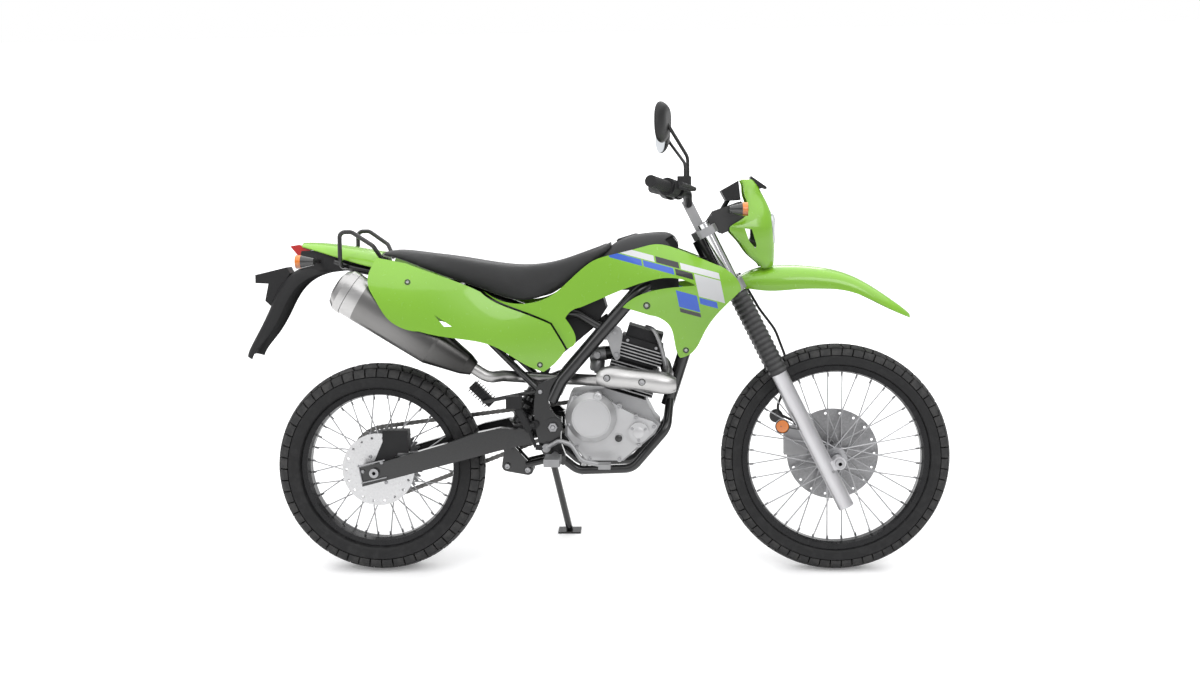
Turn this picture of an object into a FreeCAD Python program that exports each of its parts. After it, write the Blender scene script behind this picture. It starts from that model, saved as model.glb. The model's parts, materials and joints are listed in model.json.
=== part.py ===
import FreeCAD, Part
import Sketcher
import math
import os
from types import SimpleNamespace

# A dual sport motorcycle at its real size, in millimetres, parked on its side stand.
# The upright frame of the drawing has X forward, Y to the left and Z up. Its origin is on the ground
# below the rear axle, in the middle plane. The whole machine is leant over at the end.

SIZES = {
    # the whole machine
    "wheelbase": 1380.0, "rake": 26.5, "fork_length": 795.0, "axle_lead": 39.0, "clamp_offset": 25.0,
    "lean_angle": 9.0, "seat_gap": 0.3, "running_gap": 5.0, "overrun": 10.0,
    # tyres
    "front_tyre_radius": 343.0, "front_tyre_width": 80.0, "front_bead_radius": 268.5,
    "rear_tyre_radius": 318.0, "rear_tyre_width": 112.0, "rear_bead_radius": 230.5,
    # rims, spokes and hubs
    "front_rim_width": 54.0, "rear_rim_width": 70.0, "rim_flange_height": 11.0, "rim_flange_wall": 4.0,
    "rim_wall": 5.0, "rim_well_depth": 5.0, "rim_shoulder": 14.0,
    "spoke_radius": 1.9, "spoke_seat_inset": 4.0, "spoke_rim_spread": 9.0, "spoke_rim_inner_spread": 3.0,
    "spoke_flange_lift": 4.5, "front_hub_radius": 20.0, "front_flange_radius": 33.0,
    "front_flange_reach": 31.0,
    "rear_hub_radius": 30.0, "rear_flange_radius": 44.0, "rear_flange_reach": 34.0, "flange_wall": 4.0,
    "axle_radius": 8.5, "axle_bore_radius": 5.5, "hub_bore_gap": 0.3, "axle_nut_radius": 14.0,
    "axle_nut_height": 12.0, "front_hub_half": 52.0, "rear_hub_half": 62.0,
    # brake discs and rear sprocket
    "front_disc_radius": 139.0, "front_disc_place": 50.0, "disc_wall": 4.0,
    "rear_disc_radius": 110.0, "rear_disc_place": 62.0,
    "disc_hole_radius": 4.0, "disc_hole_inset": 13.0,
    "chain_pitch_radius": 111.0, "chain_height": 15.0, "chain_width": 17.0, "chain_line": 70.0,
    "sprocket_wall": 6.0, "sprocket_inner": 46.0, "drive_pitch_radius": 35.0, "sprocket_clearance": 1.0,
    # fork and steering
    "fork_spread": 95.0, "tube_radius": 18.5, "slider_radius": 24.0, "slider_top": 316.0,
    "slider_reach": 129.0, "slider_bore_depth": 110.0, "boot_radius": 29.0, "boot_waist": 25.5,
    "boot_top": 583.0, "tube_stand_proud": 14.0, "tube_slide_gap": 0.3, "lug_radius": 19.0, "lug_half": 23.0,
    "stem_radius": 14.0, "head_tube_radius": 27.0, "clamp_wall": 11.0, "upper_clamp_height": 24.0,
    "lower_clamp_height": 34.0, "lower_clamp_base": 588.0, "clamp_neck": 20.0, "head_gap": 1.0,
    "steering_swing": 42.0,
    # frame, subframe and swingarm
    "spar_radius": 19.0, "spar_spread": 98.0, "cradle_radius": 13.0, "cradle_spread": 72.0,
    "down_tube_radius": 20.0, "plate_wall": 24.0, "plate_place": 88.0, "rail_radius": 12.0,
    "rail_spread": 74.0, "beam_inner": 84.0, "beam_wall": 30.0, "swing_cross_radius": 25.0,
    "pivot_pin_radius": 10.0, "swing_arm_inner": 52.0, "swing_arm_wall": 26.0,
    # shock absorber and its rocker
    "shock_radius": 24.0, "spring_radius": 34.0, "spring_wire": 6.0, "spring_turns": 7.0, "rocker_wall": 8.0,
    "rocker_half": 26.0, "rocker_eye": 17.0, "regulator_side": 26.0, "regulator_fin_side": 40.0,
    "regulator_length": 84.0, "regulator_place": 58.0,
    # engine
    "case_half": 78.0, "clutch_cover_radius": 74.0, "clutch_cover_depth": 30.0, "cover_base_depth": 26.0,
    "clutch_rim_depth": 12.0, "clutch_slope": 42.0, "boss_radius": 8.0, "boss_rise": 4.0,
    "sight_radius": 14.0,
    "pump_cover_radius": 30.0, "generator_radius": 62.0, "generator_depth": 26.0, "barrel_side": 104.0,
    "fin_side": 150.0, "fin_wall": 3.0, "fin_pitch": 9.5, "barrel_height": 96.0, "head_side": 128.0,
    "head_fin_side": 144.0, "head_height": 70.0, "valve_cover_height": 34.0, "cylinder_lean": 17.0,
    "intake_radius": 22.0, "bracket_wall": 8.0, "air_box_half": 58.0,
    # exhaust
    "header_radius": 17.0, "shield_radius": 32.0, "shield_wall": 2.5, "muffler_high": 130.0,
    "muffler_wide": 112.0, "muffler_place": 128.0,
    # tank, seat and body panels
    "panel_wall": 3.0, "tank_cover_half": 82.0, "seat_half": 108.0, "panel_gap": 1.5,
    "cap_radius": 34.0, "cap_height": 14.0, "stub_radius": 6.0,
    # tail
    "tail_half": 92.0, "mudguard_half": 66.0, "grab_radius": 6.5, "grab_spread": 118.0, "lamp_half": 44.0,
    "indicator_radius": 20.0, "indicator_lens_depth": 15.0, "indicator_depth": 52.0,
    "indicator_spread": 150.0, "stalk_radius": 7.0,
    "front_indicator_spread": 135.0,
    # controls
    "bar_radius": 11.0, "bar_half": 410.0, "grip_radius": 16.5, "grip_length": 118.0, "housing_radius": 25.0,
    "housing_length": 46.0, "lever_radius": 6.0, "riser_side": 28.0, "riser_spread": 46.0,
    "mirror_half": 57.0, "mirror_high": 112.0, "mirror_depth": 26.0, "mirror_stem_radius": 5.0,
    "mirror_place": 300.0, "peg_length": 88.0, "peg_width": 46.0, "peg_height": 22.0, "pedal_radius": 7.0,
    "pedal_tip": 44.0, "cylinder_radius": 12.0, "brake_pot_side": 36.0,
    # headlamp, instrument, mudguard, brake hose
    "cowl_half": 98.0, "lamp_glass_half": 63.0, "lamp_glass_high": 118.0, "lamp_depth": 70.0,
    "meter_half": 58.0, "fender_half": 62.0, "hose_radius": 4.0, "caliper_gap": 5.0, "caliper_wall": 16.0,
    # side stand
    "stand_radius": 11.0, "stand_place": 122.0, "stand_foot_place": 292.0, "stand_foot_length": 74.0,
    "stand_foot_width": 46.0, "stand_foot_wall": 6.0, "stand_pin_radius": 8.0, "stand_clearance": 0.3,
}
NO_TURN = FreeCAD.Rotation()
V = FreeCAD.Vector


def formula_of(value):
    """The spreadsheet formula of a size, or the plain number."""
    return getattr(value, "formula", "(%r)" % float(value))


class Size(float):
    """A length or an angle that remembers the spreadsheet formula it comes from."""

    def __new__(cls, value, formula):
        size = super().__new__(cls, value)
        size.formula = formula
        return size

    def __add__(self, other):
        return Size(float(self) + float(other), "(%s + %s)" % (self.formula, formula_of(other)))

    def __radd__(self, other):
        return Size(float(other) + float(self), "(%s + %s)" % (formula_of(other), self.formula))

    def __sub__(self, other):
        return Size(float(self) - float(other), "(%s - %s)" % (self.formula, formula_of(other)))

    def __rsub__(self, other):
        return Size(float(other) - float(self), "(%s - %s)" % (formula_of(other), self.formula))

    def __mul__(self, other):
        return Size(float(self) * float(other), "(%s * %s)" % (self.formula, formula_of(other)))

    def __rmul__(self, other):
        return Size(float(other) * float(self), "(%s * %s)" % (formula_of(other), self.formula))

    def __truediv__(self, other):
        return Size(float(self) / float(other), "(%s / %s)" % (self.formula, formula_of(other)))

    def __neg__(self):
        return Size(-float(self), "(-%s)" % self.formula)


def sine(angle):
    return Size(math.sin(math.radians(angle)), "sin(%s)" % formula_of(angle))


def cosine(angle):
    return Size(math.cos(math.radians(angle)), "cos(%s)" % formula_of(angle))


doc = FreeCAD.newDocument("DualSportMotorcycle")
sheet = doc.addObject("Spreadsheet::Sheet", "Sizes")
for row, (name, value) in enumerate(SIZES.items(), start=1):
    sheet.set("A%d" % row, name)
    sheet.set("B%d" % row, str(value))
    sheet.setAlias("B%d" % row, name)
doc.recompute()
d = SimpleNamespace(**{name: Size(value, "Sizes.%s" % name) for name, value in SIZES.items()})

# places that the pieces share
front_axle_height = d.front_tyre_radius
axle_offset = d.axle_lead + d.clamp_offset
head_x = d.wheelbase - axle_offset * cosine(d.rake) - d.fork_length * sine(d.rake)
head_z = front_axle_height - axle_offset * sine(d.rake) + d.fork_length * cosine(d.rake)
steering_foot = V(d.wheelbase - axle_offset * cosine(d.rake), 0,
                  front_axle_height - axle_offset * sine(d.rake))
REAR_AXLE = FreeCAD.Placement(V(0, 0, d.rear_tyre_radius), NO_TURN)
FRONT_AXLE = FreeCAD.Placement(V(d.wheelbase, 0, front_axle_height), NO_TURN)
STEERING = FreeCAD.Placement(steering_foot, FreeCAD.Rotation(V(0, 1, 0), -d.rake))
UPRIGHT = FreeCAD.Placement()


def at(along_share, up_share, across=0):
    """A place on the machine, in shares of the steering head's distance and height."""
    return V(head_x * along_share, across, head_z * up_share)


def flat(shares):
    """Side view corners, in shares of the steering head's distance and height."""
    return [(head_x * along, head_z * up) for along, up in shares]


def ahead(along_share, up_share, across=0):
    """A place on the steering, in shares of the fork's length from the steering head."""
    return V(head_x + d.fork_length * along_share, across, head_z + d.fork_length * up_share)


def ahead_flat(shares):
    return [(head_x + d.fork_length * along, head_z + d.fork_length * up) for along, up in shares]


# sketches and features
pieces = {}


def new_body(label):
    body = doc.addObject("PartDesign::Body", label)
    body.Label = label
    return body


def plane_of(body, role):
    return next(item for item in body.Origin.OriginFeatures if item.Role == role)


def new_sketch(body, name, role, lift=None):
    sketch = body.newObject("Sketcher::SketchObject", name)
    sketch.AttachmentSupport = [(plane_of(body, role), "")]
    sketch.MapMode = "FlatFace"
    if lift is not None:
        sketch.AttachmentOffset = FreeCAD.Placement(V(0, 0, lift), NO_TURN)
        sketch.setExpression("AttachmentOffset.Base.z", formula_of(lift))
    return sketch


def tie_point(sketch, shape, end, place):
    """Tie one point of a sketch to its two sizes, measured from the sketch's origin."""
    for kind, axis, value in (("DistanceX", -2, place[0]), ("DistanceY", -1, place[1])):
        if float(value) == 0:
            sketch.addConstraint(Sketcher.Constraint("PointOnObject", shape, end, axis))
            continue
        if value > 0:
            tie = Sketcher.Constraint(kind, -1, 1, shape, end, float(value))
            formula = formula_of(value)
        else:
            tie = Sketcher.Constraint(kind, shape, end, -1, 1, -float(value))
            formula = "(0 - %s)" % formula_of(value)
        index = sketch.addConstraint(tie)
        sketch.setExpression("Constraints[%d]" % index, formula)


def outline(body, name, corners, role="XZ_Plane", lift=None):
    """A closed outline of straight edges whose corners all follow the sheet."""
    sketch = new_sketch(body, name, role, lift)
    count = len(corners)
    for number in range(count):
        start = corners[number]
        end = corners[(number + 1) % count]
        sketch.addGeometry(Part.LineSegment(V(start[0], start[1], 0), V(end[0], end[1], 0)), False)
    for number in range(count):
        sketch.addConstraint(Sketcher.Constraint("Coincident", number, 2, (number + 1) % count, 1))
    for number in range(count):
        tie_point(sketch, number, 1, corners[number])
    return sketch


def rings(body, name, circles, role="XZ_Plane", lift=None):
    """Circles given as (first place, second place, radius)."""
    sketch = new_sketch(body, name, role, lift)
    for number, (first, second, radius) in enumerate(circles):
        sketch.addGeometry(Part.Circle(V(first, second, 0), V(0, 0, 1), radius), False)
        tie_point(sketch, number, 3, (first, second))
        index = sketch.addConstraint(Sketcher.Constraint("Radius", number, float(radius)))
        sketch.setExpression("Constraints[%d]" % index, formula_of(radius))
    return sketch


def pad(body, sketch, length, both_ways=False):
    feature = body.newObject("PartDesign::Pad", sketch.Name + "_pad")
    feature.Profile = sketch
    feature.Length = length
    feature.setExpression("Length", formula_of(length))
    feature.Midplane = both_ways
    body.Tip = feature
    return feature


def pocket(body, sketch, length, both_ways=False):
    feature = body.newObject("PartDesign::Pocket", sketch.Name + "_cut")
    feature.Profile = sketch
    feature.Length = length
    feature.setExpression("Length", formula_of(length))
    feature.Midplane = both_ways
    body.Tip = feature
    return feature


def turn(body, sketch):
    feature = body.newObject("PartDesign::Revolution", sketch.Name + "_turn")
    feature.Profile = sketch
    feature.ReferenceAxis = (sketch, ["V_Axis"])
    feature.Angle = 360
    body.Tip = feature
    return feature


def slab(body, name, corners, low, high):
    """A side view outline made solid from one distance across to another."""
    return pad(body, outline(body, name, corners, "XZ_Plane", -high), high - low)


def drum(body, name, centre, radius, low, high):
    """A round boss that stands across the machine."""
    return pad(body, rings(body, name, [(centre[0], centre[1], radius)], "XZ_Plane", -high), high - low)


def keep(item, place=UPRIGHT):
    """Note a finished piece and where it sits before the machine is leant over."""
    item.Placement = place
    pieces[item.Label] = item
    return item


def made(label, shape):
    """A piece whose form no sketch feature gives, such as bent tubes and lofted panels."""
    item = doc.addObject("Part::Feature", label)
    item.Label = label
    item.Shape = shape
    pieces[label] = item
    return item


# free forms
ACROSS = V(0, 1, 0)
UP = V(0, 0, 1)


def bent_path(points, bend):
    """Straight runs joined by arcs that touch them."""
    edges = []
    start = points[0]
    for before, corner, after in zip(points, points[1:], points[2:]):
        arriving = (corner - before).normalize()
        leaving = (after - corner).normalize()
        half_turn = arriving.getAngle(leaving) / 2
        cut = min(bend * math.tan(half_turn), 0.45 * (corner - before).Length,
                  0.45 * (after - corner).Length)
        radius = cut / math.tan(half_turn)
        first = corner - arriving * cut
        last = corner + leaving * cut
        inward = (leaving - arriving).normalize()
        middle = corner + inward * (radius / math.cos(half_turn) - radius)
        edges.append(Part.LineSegment(start, first).toShape())
        edges.append(Part.Arc(first, middle, last).toShape())
        start = last
    edges.append(Part.LineSegment(start, points[-1]).toShape())
    return Part.Wire(edges)


def tube(points, radius, bend):
    """A round bar along bent runs."""
    path = bent_path(points, bend)
    ring = Part.Wire([Part.makeCircle(radius, points[0], points[1] - points[0])])
    return path.makePipeShell([ring], True, True)


def joined(shapes):
    first = shapes[0]
    return first.multiFuse(shapes[1:]).removeSplitter()


def largest(shape):
    """The biggest solid of a cut, without the crumbs that the cut leaves."""
    return max(shape.Solids, key=lambda one: one.Volume)


def stub(skin, start, end, radius):
    """A round boss from the first place out to the skin that it carries."""
    cut = rod(start, end, radius).cut(skin)
    return min(cut.Solids, key=lambda one: (one.CenterOfMass - start).Length)


def rod(start, end, radius):
    return Part.makeCylinder(radius, (end - start).Length, start, end - start)


def mirrored(shape):
    return shape.mirror(V(0, 0, 0), V(0, 1, 0))


def both_sides(shape):
    return Part.makeCompound([shape, mirrored(shape)])


def prism(points, low, high):
    """A side view outline made solid across the machine."""
    corners = [V(x, low, z) for x, z in points]
    face = Part.Face(Part.makePolygon(corners + corners[:1]))
    return face.extrude(V(0, high - low, 0))


def curved_outline(groups, low, high):
    """A side view outline of smooth runs that meet at corners, made solid across."""
    edges = []
    for group in groups:
        run = [V(head_x * along, low, head_z * up) for along, up in group]
        edges.append(Part.LineSegment(run[0], run[1]).toShape() if len(run) == 2 else smooth(run))
    return Part.Face(Part.Wire(edges)).extrude(V(0, high - low, 0))


def eyed_plate(eyes, radius, low, high):
    """A plate whose outline runs round the eyes of its bolts."""
    corners = [V(x, low, z) for x, z in eyes]
    wire = Part.makePolygon(corners + corners[:1])
    return Part.Face(wire.makeOffset2D(radius)).extrude(V(0, high - low, 0))


def oval(centre, across, up, half_across, half_up, fullness, count=16):
    """A smooth closed section; fullness 2 is an ellipse and more is squarer."""
    points = []
    for number in range(count):
        angle = 2 * math.pi * (number + 0.5) / count
        side = math.copysign(abs(math.cos(angle)) ** (2 / fullness), math.cos(angle))
        rise = math.copysign(abs(math.sin(angle)) ** (2 / fullness), math.sin(angle))
        points.append(centre + across * (half_across * side) + up * (half_up * rise))
    curve = Part.BSplineCurve()
    curve.interpolate(Points=points, PeriodicFlag=True)
    return Part.Wire([curve.toShape()])


def smooth(points):
    curve = Part.BSplineCurve()
    curve.interpolate(Points=points)
    return curve.toShape()


def skin_section(points, thickness):
    """A thin section: a smooth outer line, and the same line moved by the thickness."""
    inner = [point + thickness for point in points]
    inner.reverse()
    outer_edge = smooth(points)
    inner_edge = smooth(inner)
    return Part.Wire([outer_edge, Part.LineSegment(points[-1], inner[0]).toShape(),
                      inner_edge, Part.LineSegment(inner[-1], points[0]).toShape()])


def loft(sections, ruled=False):
    return Part.makeLoft(sections, True, ruled)


# wheels
TYRE_SHARES = ((0.42, 0.96), (0.62, 1.0), (0.8, 0.93), (0.93, 0.64), (1.0, 0.24))


def tyre(label, radius, width, bead, rim_width, place):
    """A tyre in section: two beads, bulging walls and a round crown."""
    inner = rim_width / 2 - d.rim_flange_wall - d.seat_gap
    lip = bead + d.rim_flange_height + d.seat_gap
    height = radius - bead
    half = [(bead, inner), (lip, inner), (lip + d.seat_gap, rim_width / 2)]
    half += [(bead + height * up, width * side / 2) for up, side in TYRE_SHARES]
    other = [(reach, -side) for reach, side in reversed(half)]
    body = new_body(label)
    turn(body, outline(body, label + "_section", half + other, "XY_Plane"))
    return keep(body, place)


def rim(label, bead, width, place):
    edge = width / 2
    inner_edge = edge - d.rim_flange_wall
    lip = bead + d.rim_flange_height
    seat = bead - d.seat_gap
    well = seat - d.rim_well_depth
    outer = [(lip, edge), (lip, inner_edge), (seat, inner_edge), (well, d.rim_shoulder)]
    other = [(reach, -side) for reach, side in reversed(outer)]
    back = [(seat - d.rim_wall, -edge), (well - d.rim_wall, -d.rim_shoulder),
            (well - d.rim_wall, d.rim_shoulder), (seat - d.rim_wall, edge)]
    body = new_body(label)
    turn(body, outline(body, label + "_section", outer + other + back, "XY_Plane"))
    return keep(body, place)


def laced_hub(label, hub_radius, flange_radius, flange_reach, half_length, bead, place):
    """A hub of turned flanges with thirty-six spokes laced over three."""
    bore = d.axle_radius + d.hub_bore_gap
    barrel = Part.makeCylinder(hub_radius, 2 * half_length, V(0, -half_length, 0), ACROSS)
    parts = []
    for side in (-1, 1):
        start = V(0, side * (flange_reach - d.flange_wall), 0)
        parts.append(Part.makeCylinder(flange_radius, 2 * d.flange_wall, start, ACROSS * side))
    seat = flange_radius - d.spoke_seat_inset
    reach = bead - d.seat_gap - d.rim_well_depth - d.rim_wall - d.spoke_radius / 2
    sides = 2
    groups = 9
    lean = 55
    for side_number in range(sides):
        side = 2 * side_number - 1
        for group in range(groups):
            for way in (-1, 1):
                hub_angle = math.radians(360 / groups * (group + 0.25 * way + 0.5 * side_number))
                rim_angle = hub_angle + way * math.radians(lean)
                inner = V(seat * math.cos(hub_angle), side * flange_reach + way * d.spoke_flange_lift,
                          seat * math.sin(hub_angle))
                spread = d.spoke_rim_spread if way * side > 0 else d.spoke_rim_inner_spread
                outer = V(reach * math.cos(rim_angle), side * spread, reach * math.sin(rim_angle))
                parts.append(rod(inner, outer, d.spoke_radius))
    hub = barrel.multiFuse(parts)
    hub = hub.cut(Part.makeCylinder(bore, 4 * half_length, V(0, -2 * half_length, 0), ACROSS))
    item = made(label, hub)
    item.Placement = place
    return item


def disc(label, radius, inner, place_across, place, hole_count=18):
    """A brake disc with a row of holes near its edge and spider windows."""
    body = new_body(label)
    low = place_across - d.disc_wall / 2
    high = place_across + d.disc_wall / 2
    blank = rings(body, label + "_blank", [(0, 0, radius), (0, 0, inner)], "XZ_Plane", -high)
    pad(body, blank, high - low)
    hole = rings(body, label + "_hole", [(radius - d.disc_hole_inset, 0, d.disc_hole_radius)], "XZ_Plane",
                 -high)
    cut = pocket(body, hole, d.disc_wall)
    cut.Reversed = True
    pattern = body.newObject("PartDesign::PolarPattern", label + "_holes")
    pattern.Originals = [cut]
    pattern.Axis = (plane_of(body, "Y_Axis"), [""])
    pattern.Angle = 360
    pattern.Occurrences = hole_count
    body.Tip = pattern
    return keep(body, place)


tyre("front_tyre", d.front_tyre_radius, d.front_tyre_width, d.front_bead_radius, d.front_rim_width,
     FRONT_AXLE)
tyre("rear_tyre", d.rear_tyre_radius, d.rear_tyre_width, d.rear_bead_radius, d.rear_rim_width, REAR_AXLE)
rim("front_rim", d.front_bead_radius, d.front_rim_width, FRONT_AXLE)
rim("rear_rim", d.rear_bead_radius, d.rear_rim_width, REAR_AXLE)
laced_hub("front_hub", d.front_hub_radius, d.front_flange_radius, d.front_flange_reach, d.front_hub_half,
          d.front_bead_radius, FRONT_AXLE)
laced_hub("rear_hub", d.rear_hub_radius, d.rear_flange_radius, d.rear_flange_reach, d.rear_hub_half,
          d.rear_bead_radius, REAR_AXLE)
disc("front_disc", d.front_disc_radius, d.front_hub_radius + d.seat_gap, d.front_disc_place, FRONT_AXLE)
disc("rear_disc", d.rear_disc_radius, d.rear_hub_radius + d.seat_gap, -d.rear_disc_place, REAR_AXLE)


def on_steering(forward, across, up):
    return STEERING.multVec(V(forward, across, up))


# the rear sprocket and the two axles
sprocket = new_body("rear_sprocket")
tooth_reach = d.chain_pitch_radius - d.chain_height / 2 - d.sprocket_clearance
sprocket_low = d.chain_line - d.sprocket_wall / 2
carrier_foot = d.rear_hub_half + d.seat_gap
turn(sprocket, outline(sprocket, "sprocket_section", [
    (d.axle_nut_radius + d.running_gap, carrier_foot), (d.sprocket_inner, carrier_foot),
    (d.sprocket_inner, sprocket_low), (tooth_reach, sprocket_low),
    (tooth_reach, sprocket_low + d.sprocket_wall), (d.axle_nut_radius + d.running_gap,
                                                   sprocket_low + d.sprocket_wall)], "XY_Plane"))
keep(sprocket, REAR_AXLE)


def axle(label, half_length, place):
    """A hollow axle with a nut at each end."""
    shape = Part.makeCylinder(d.axle_radius, 2 * half_length, V(0, -half_length, 0), ACROSS)
    for side in (-1, 1):
        nut = Part.makeCylinder(d.axle_nut_radius, d.axle_nut_height, V(0, side * half_length, 0),
                                ACROSS * side)
        shape = shape.fuse(nut)
    length = 2 * half_length + 4 * d.axle_nut_height
    shape = shape.cut(Part.makeCylinder(d.axle_bore_radius, length, V(0, -length / 2, 0), ACROSS))
    made(label, shape.removeSplitter()).Placement = place


front_axle_half = d.fork_spread + d.lug_half + d.seat_gap
rear_axle_half = d.beam_inner + d.beam_wall + d.seat_gap
axle("front_axle", front_axle_half, FRONT_AXLE)
axle("rear_axle", rear_axle_half, REAR_AXLE)

# the frame: head tube, twin spars, down tube, cradle rails and pivot plates
leg_wall = d.tube_radius + d.clamp_wall
upper_clamp_low = d.fork_length - d.upper_clamp_height
lower_clamp_top = d.lower_clamp_base + d.lower_clamp_height
head_low = on_steering(0, 0, lower_clamp_top + d.head_gap)
head_high = on_steering(0, 0, upper_clamp_low - d.head_gap)
SPAR_SHARES = ((0.549, 0.516), (0.579, 0.575), (0.701, 0.707), (0.822, 0.835), (0.965, 0.908))
SPAR_SPREAD_SHARES = (1, 1, 1, 0.92, 0.2)
CRADLE_SHARES = ((0.913, 0.507), (0.904, 0.432), (0.795, 0.313), (0.627, 0.308), (0.548, 0.372))
PLATE_GROUPS = (
    ((0.512, 0.568), (0.499, 0.525), (0.498, 0.464), (0.508, 0.405), (0.525, 0.362), (0.543, 0.348)),
    ((0.543, 0.348), (0.585, 0.33)),
    ((0.585, 0.33), (0.592, 0.358), (0.58, 0.392), (0.579, 0.43), (0.58, 0.462)),
    ((0.58, 0.462), (0.556, 0.482), (0.543, 0.512), (0.548, 0.55), (0.575, 0.59)),
    ((0.575, 0.59), (0.512, 0.568)))
SWING_PIVOT_SHARE = (0.555, 0.443)
swing_pivot = at(*SWING_PIVOT_SHARE)


def spar_points(side):
    line = [at(along, up, side * d.spar_spread * share)
            for (along, up), share in zip(SPAR_SHARES, SPAR_SPREAD_SHARES)]
    return line + [on_steering(-d.stem_radius, side * d.stem_radius,
                               (lower_clamp_top + upper_clamp_low) / 2)]


def cradle_points(side):
    spreads = (0.12, 1, 1, 1, 1.2)
    return [at(along, up, side * d.cradle_spread * share)
            for (along, up), share in zip(CRADLE_SHARES, spreads)]


def across_rod(along_share, up_share, half, radius):
    return rod(at(along_share, up_share, -half), at(along_share, up_share, half), radius)


def across_boss(side):
    """The round seat of the swingarm bolt on a pivot plate."""
    low = at(*SWING_PIVOT_SHARE, side * d.plate_place)
    return rod(low, low + V(0, side * (d.plate_wall + d.boss_rise), 0), d.head_tube_radius)


stand_pivot = at(0.527, 0.322, d.stand_place)
lean = FreeCAD.Placement(V(0, 0, 0), FreeCAD.Rotation(V(1, 0, 0), -d.lean_angle))


def lowest(radius, width, bead):
    """How far the leant tyre reaches below the upright ground line."""
    depths = []
    for up, side in TYRE_SHARES:
        reach = bead + (radius - bead) * up
        depths.append((radius - reach) * math.cos(math.radians(d.lean_angle))
                      - width * side / 2 * math.sin(math.radians(d.lean_angle)))
    return min(depths)


ground = min(lowest(d.front_tyre_radius, d.front_tyre_width, d.front_bead_radius),
             lowest(d.rear_tyre_radius, d.rear_tyre_width, d.rear_bead_radius))
stand_foot_x = head_x * 0.572
foot_middle = lean.inverse().multVec(V(stand_foot_x, d.stand_foot_place, ground + d.stand_foot_wall / 2))
stand_down = (foot_middle - stand_pivot).normalize()
stand_up = V(-0.985, 0.13, 0.11).normalize()
stand_axis = stand_down.cross(stand_up).normalize()
stand_swing = math.degrees(stand_down.getAngle(stand_up))

head_tube = rod(head_low, head_high, d.head_tube_radius)
frame_parts = [head_tube, tube([on_steering(0, 0, lower_clamp_top + 3.4 * d.down_tube_radius),
                                at(0.905, 0.49)], d.down_tube_radius, d.down_tube_radius)]
for side in (-1, 1):
    frame_parts.append(tube(spar_points(side), d.spar_radius, 4 * d.spar_radius))
    frame_parts.append(tube(cradle_points(side), d.cradle_radius, 4 * d.cradle_radius))
    near = side * d.plate_place
    far = side * (d.plate_place + d.plate_wall)
    frame_parts.append(curved_outline(PLATE_GROUPS, min(near, far), max(near, far)))
    frame_parts.append(across_boss(side))
CRADLE_CROSS_SHARE = (0.548, 0.355)
frame_parts.append(across_rod(*CRADLE_CROSS_SHARE, d.plate_place, d.cradle_radius))
frame_parts.append(across_rod(0.64, 0.308, d.cradle_spread, d.cradle_radius))
frame_parts.append(across_rod(0.66, 0.664, d.spar_spread, d.cradle_radius))
pin_half = d.plate_place + d.plate_wall / 2
frame_parts.append(across_rod(*SWING_PIVOT_SHARE, pin_half, d.pivot_pin_radius))
stand_knuckle = 1.5 * d.stand_radius
bracket_top = stand_pivot - stand_axis * (stand_knuckle + d.stand_clearance)
bracket_foot = bracket_top - stand_axis * (1.2 * d.cradle_radius)
frame_parts.append(rod(at(*CRADLE_CROSS_SHARE, 0.7 * d.plate_place), bracket_foot, d.cradle_radius))
frame_parts.append(rod(bracket_foot - stand_axis * (0.5 * d.cradle_radius), bracket_top, d.cradle_radius))
frame_parts.append(rod(bracket_top, stand_pivot + stand_axis * (stand_knuckle + d.stand_clearance),
                       d.stand_pin_radius))
frame_shape = joined(frame_parts).cut(rod(on_steering(0, 0, d.lower_clamp_base),
                                          on_steering(0, 0, d.fork_length),
                                          d.stem_radius + d.stand_clearance))
made("frame", frame_shape)

# the side stand: a knuckle on the frame's pin, a leg and a foot that lies on the ground
stand_leg = rod(stand_pivot + stand_down * d.stand_radius, foot_middle, d.stand_radius)
knuckle = rod(stand_pivot - stand_axis * stand_knuckle, stand_pivot + stand_axis * stand_knuckle,
              stand_knuckle)
foot = Part.makeBox(d.stand_foot_length, d.stand_foot_width, d.stand_foot_wall,
                    V(stand_foot_x - d.stand_foot_length / 2, d.stand_foot_place - d.stand_foot_width / 2,
                      ground))
foot.Placement = lean.inverse()
slab_side = 3 * d.stand_foot_length
ground_slab = Part.makeBox(slab_side, slab_side, slab_side,
                           V(stand_foot_x - 2 * d.stand_foot_length,
                             d.stand_foot_place - 2 * d.stand_foot_length,
                             ground - slab_side))
ground_slab.Placement = lean.inverse()
stand_shape = joined([knuckle, stand_leg, foot]).cut(ground_slab)
stand_shape = stand_shape.cut(rod(stand_pivot - stand_axis * 2 * stand_knuckle,
                                  stand_pivot + stand_axis * 2 * stand_knuckle,
                                  d.stand_pin_radius + d.stand_clearance))
made("side_stand", stand_shape)

# the subframe below the seat
RAIL_SHARES = ((0.715, 0.722), (0.63, 0.768), (0.465, 0.772), (0.258, 0.846), (-0.06, 0.905),
               (-0.115, 0.925))
RAIL_SPREADS = (1.2, 1.05, 1, 1, 1, 0.85)
subframe_parts = []
for side in (-1, 1):
    subframe_parts.append(tube([at(along, up, side * d.rail_spread * share)
                                for (along, up), share in zip(RAIL_SHARES, RAIL_SPREADS)],
                               d.rail_radius, 4 * d.rail_radius))
    subframe_parts.append(rod(at(0.523, 0.535, side * 1.2 * d.rail_spread),
                              at(0.175, 0.864, side * d.rail_spread), 0.85 * d.rail_radius))
REGULATOR_SHARE = (0.362, 0.503)
bracket_face = d.regulator_place + d.regulator_fin_side / 2 + d.seat_gap
bracket_line = -bracket_face - d.stub_radius
subframe_parts.append(rod(at(0.335, 0.512, bracket_line), at(0.512, 0.545, bracket_line), d.stub_radius))
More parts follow.
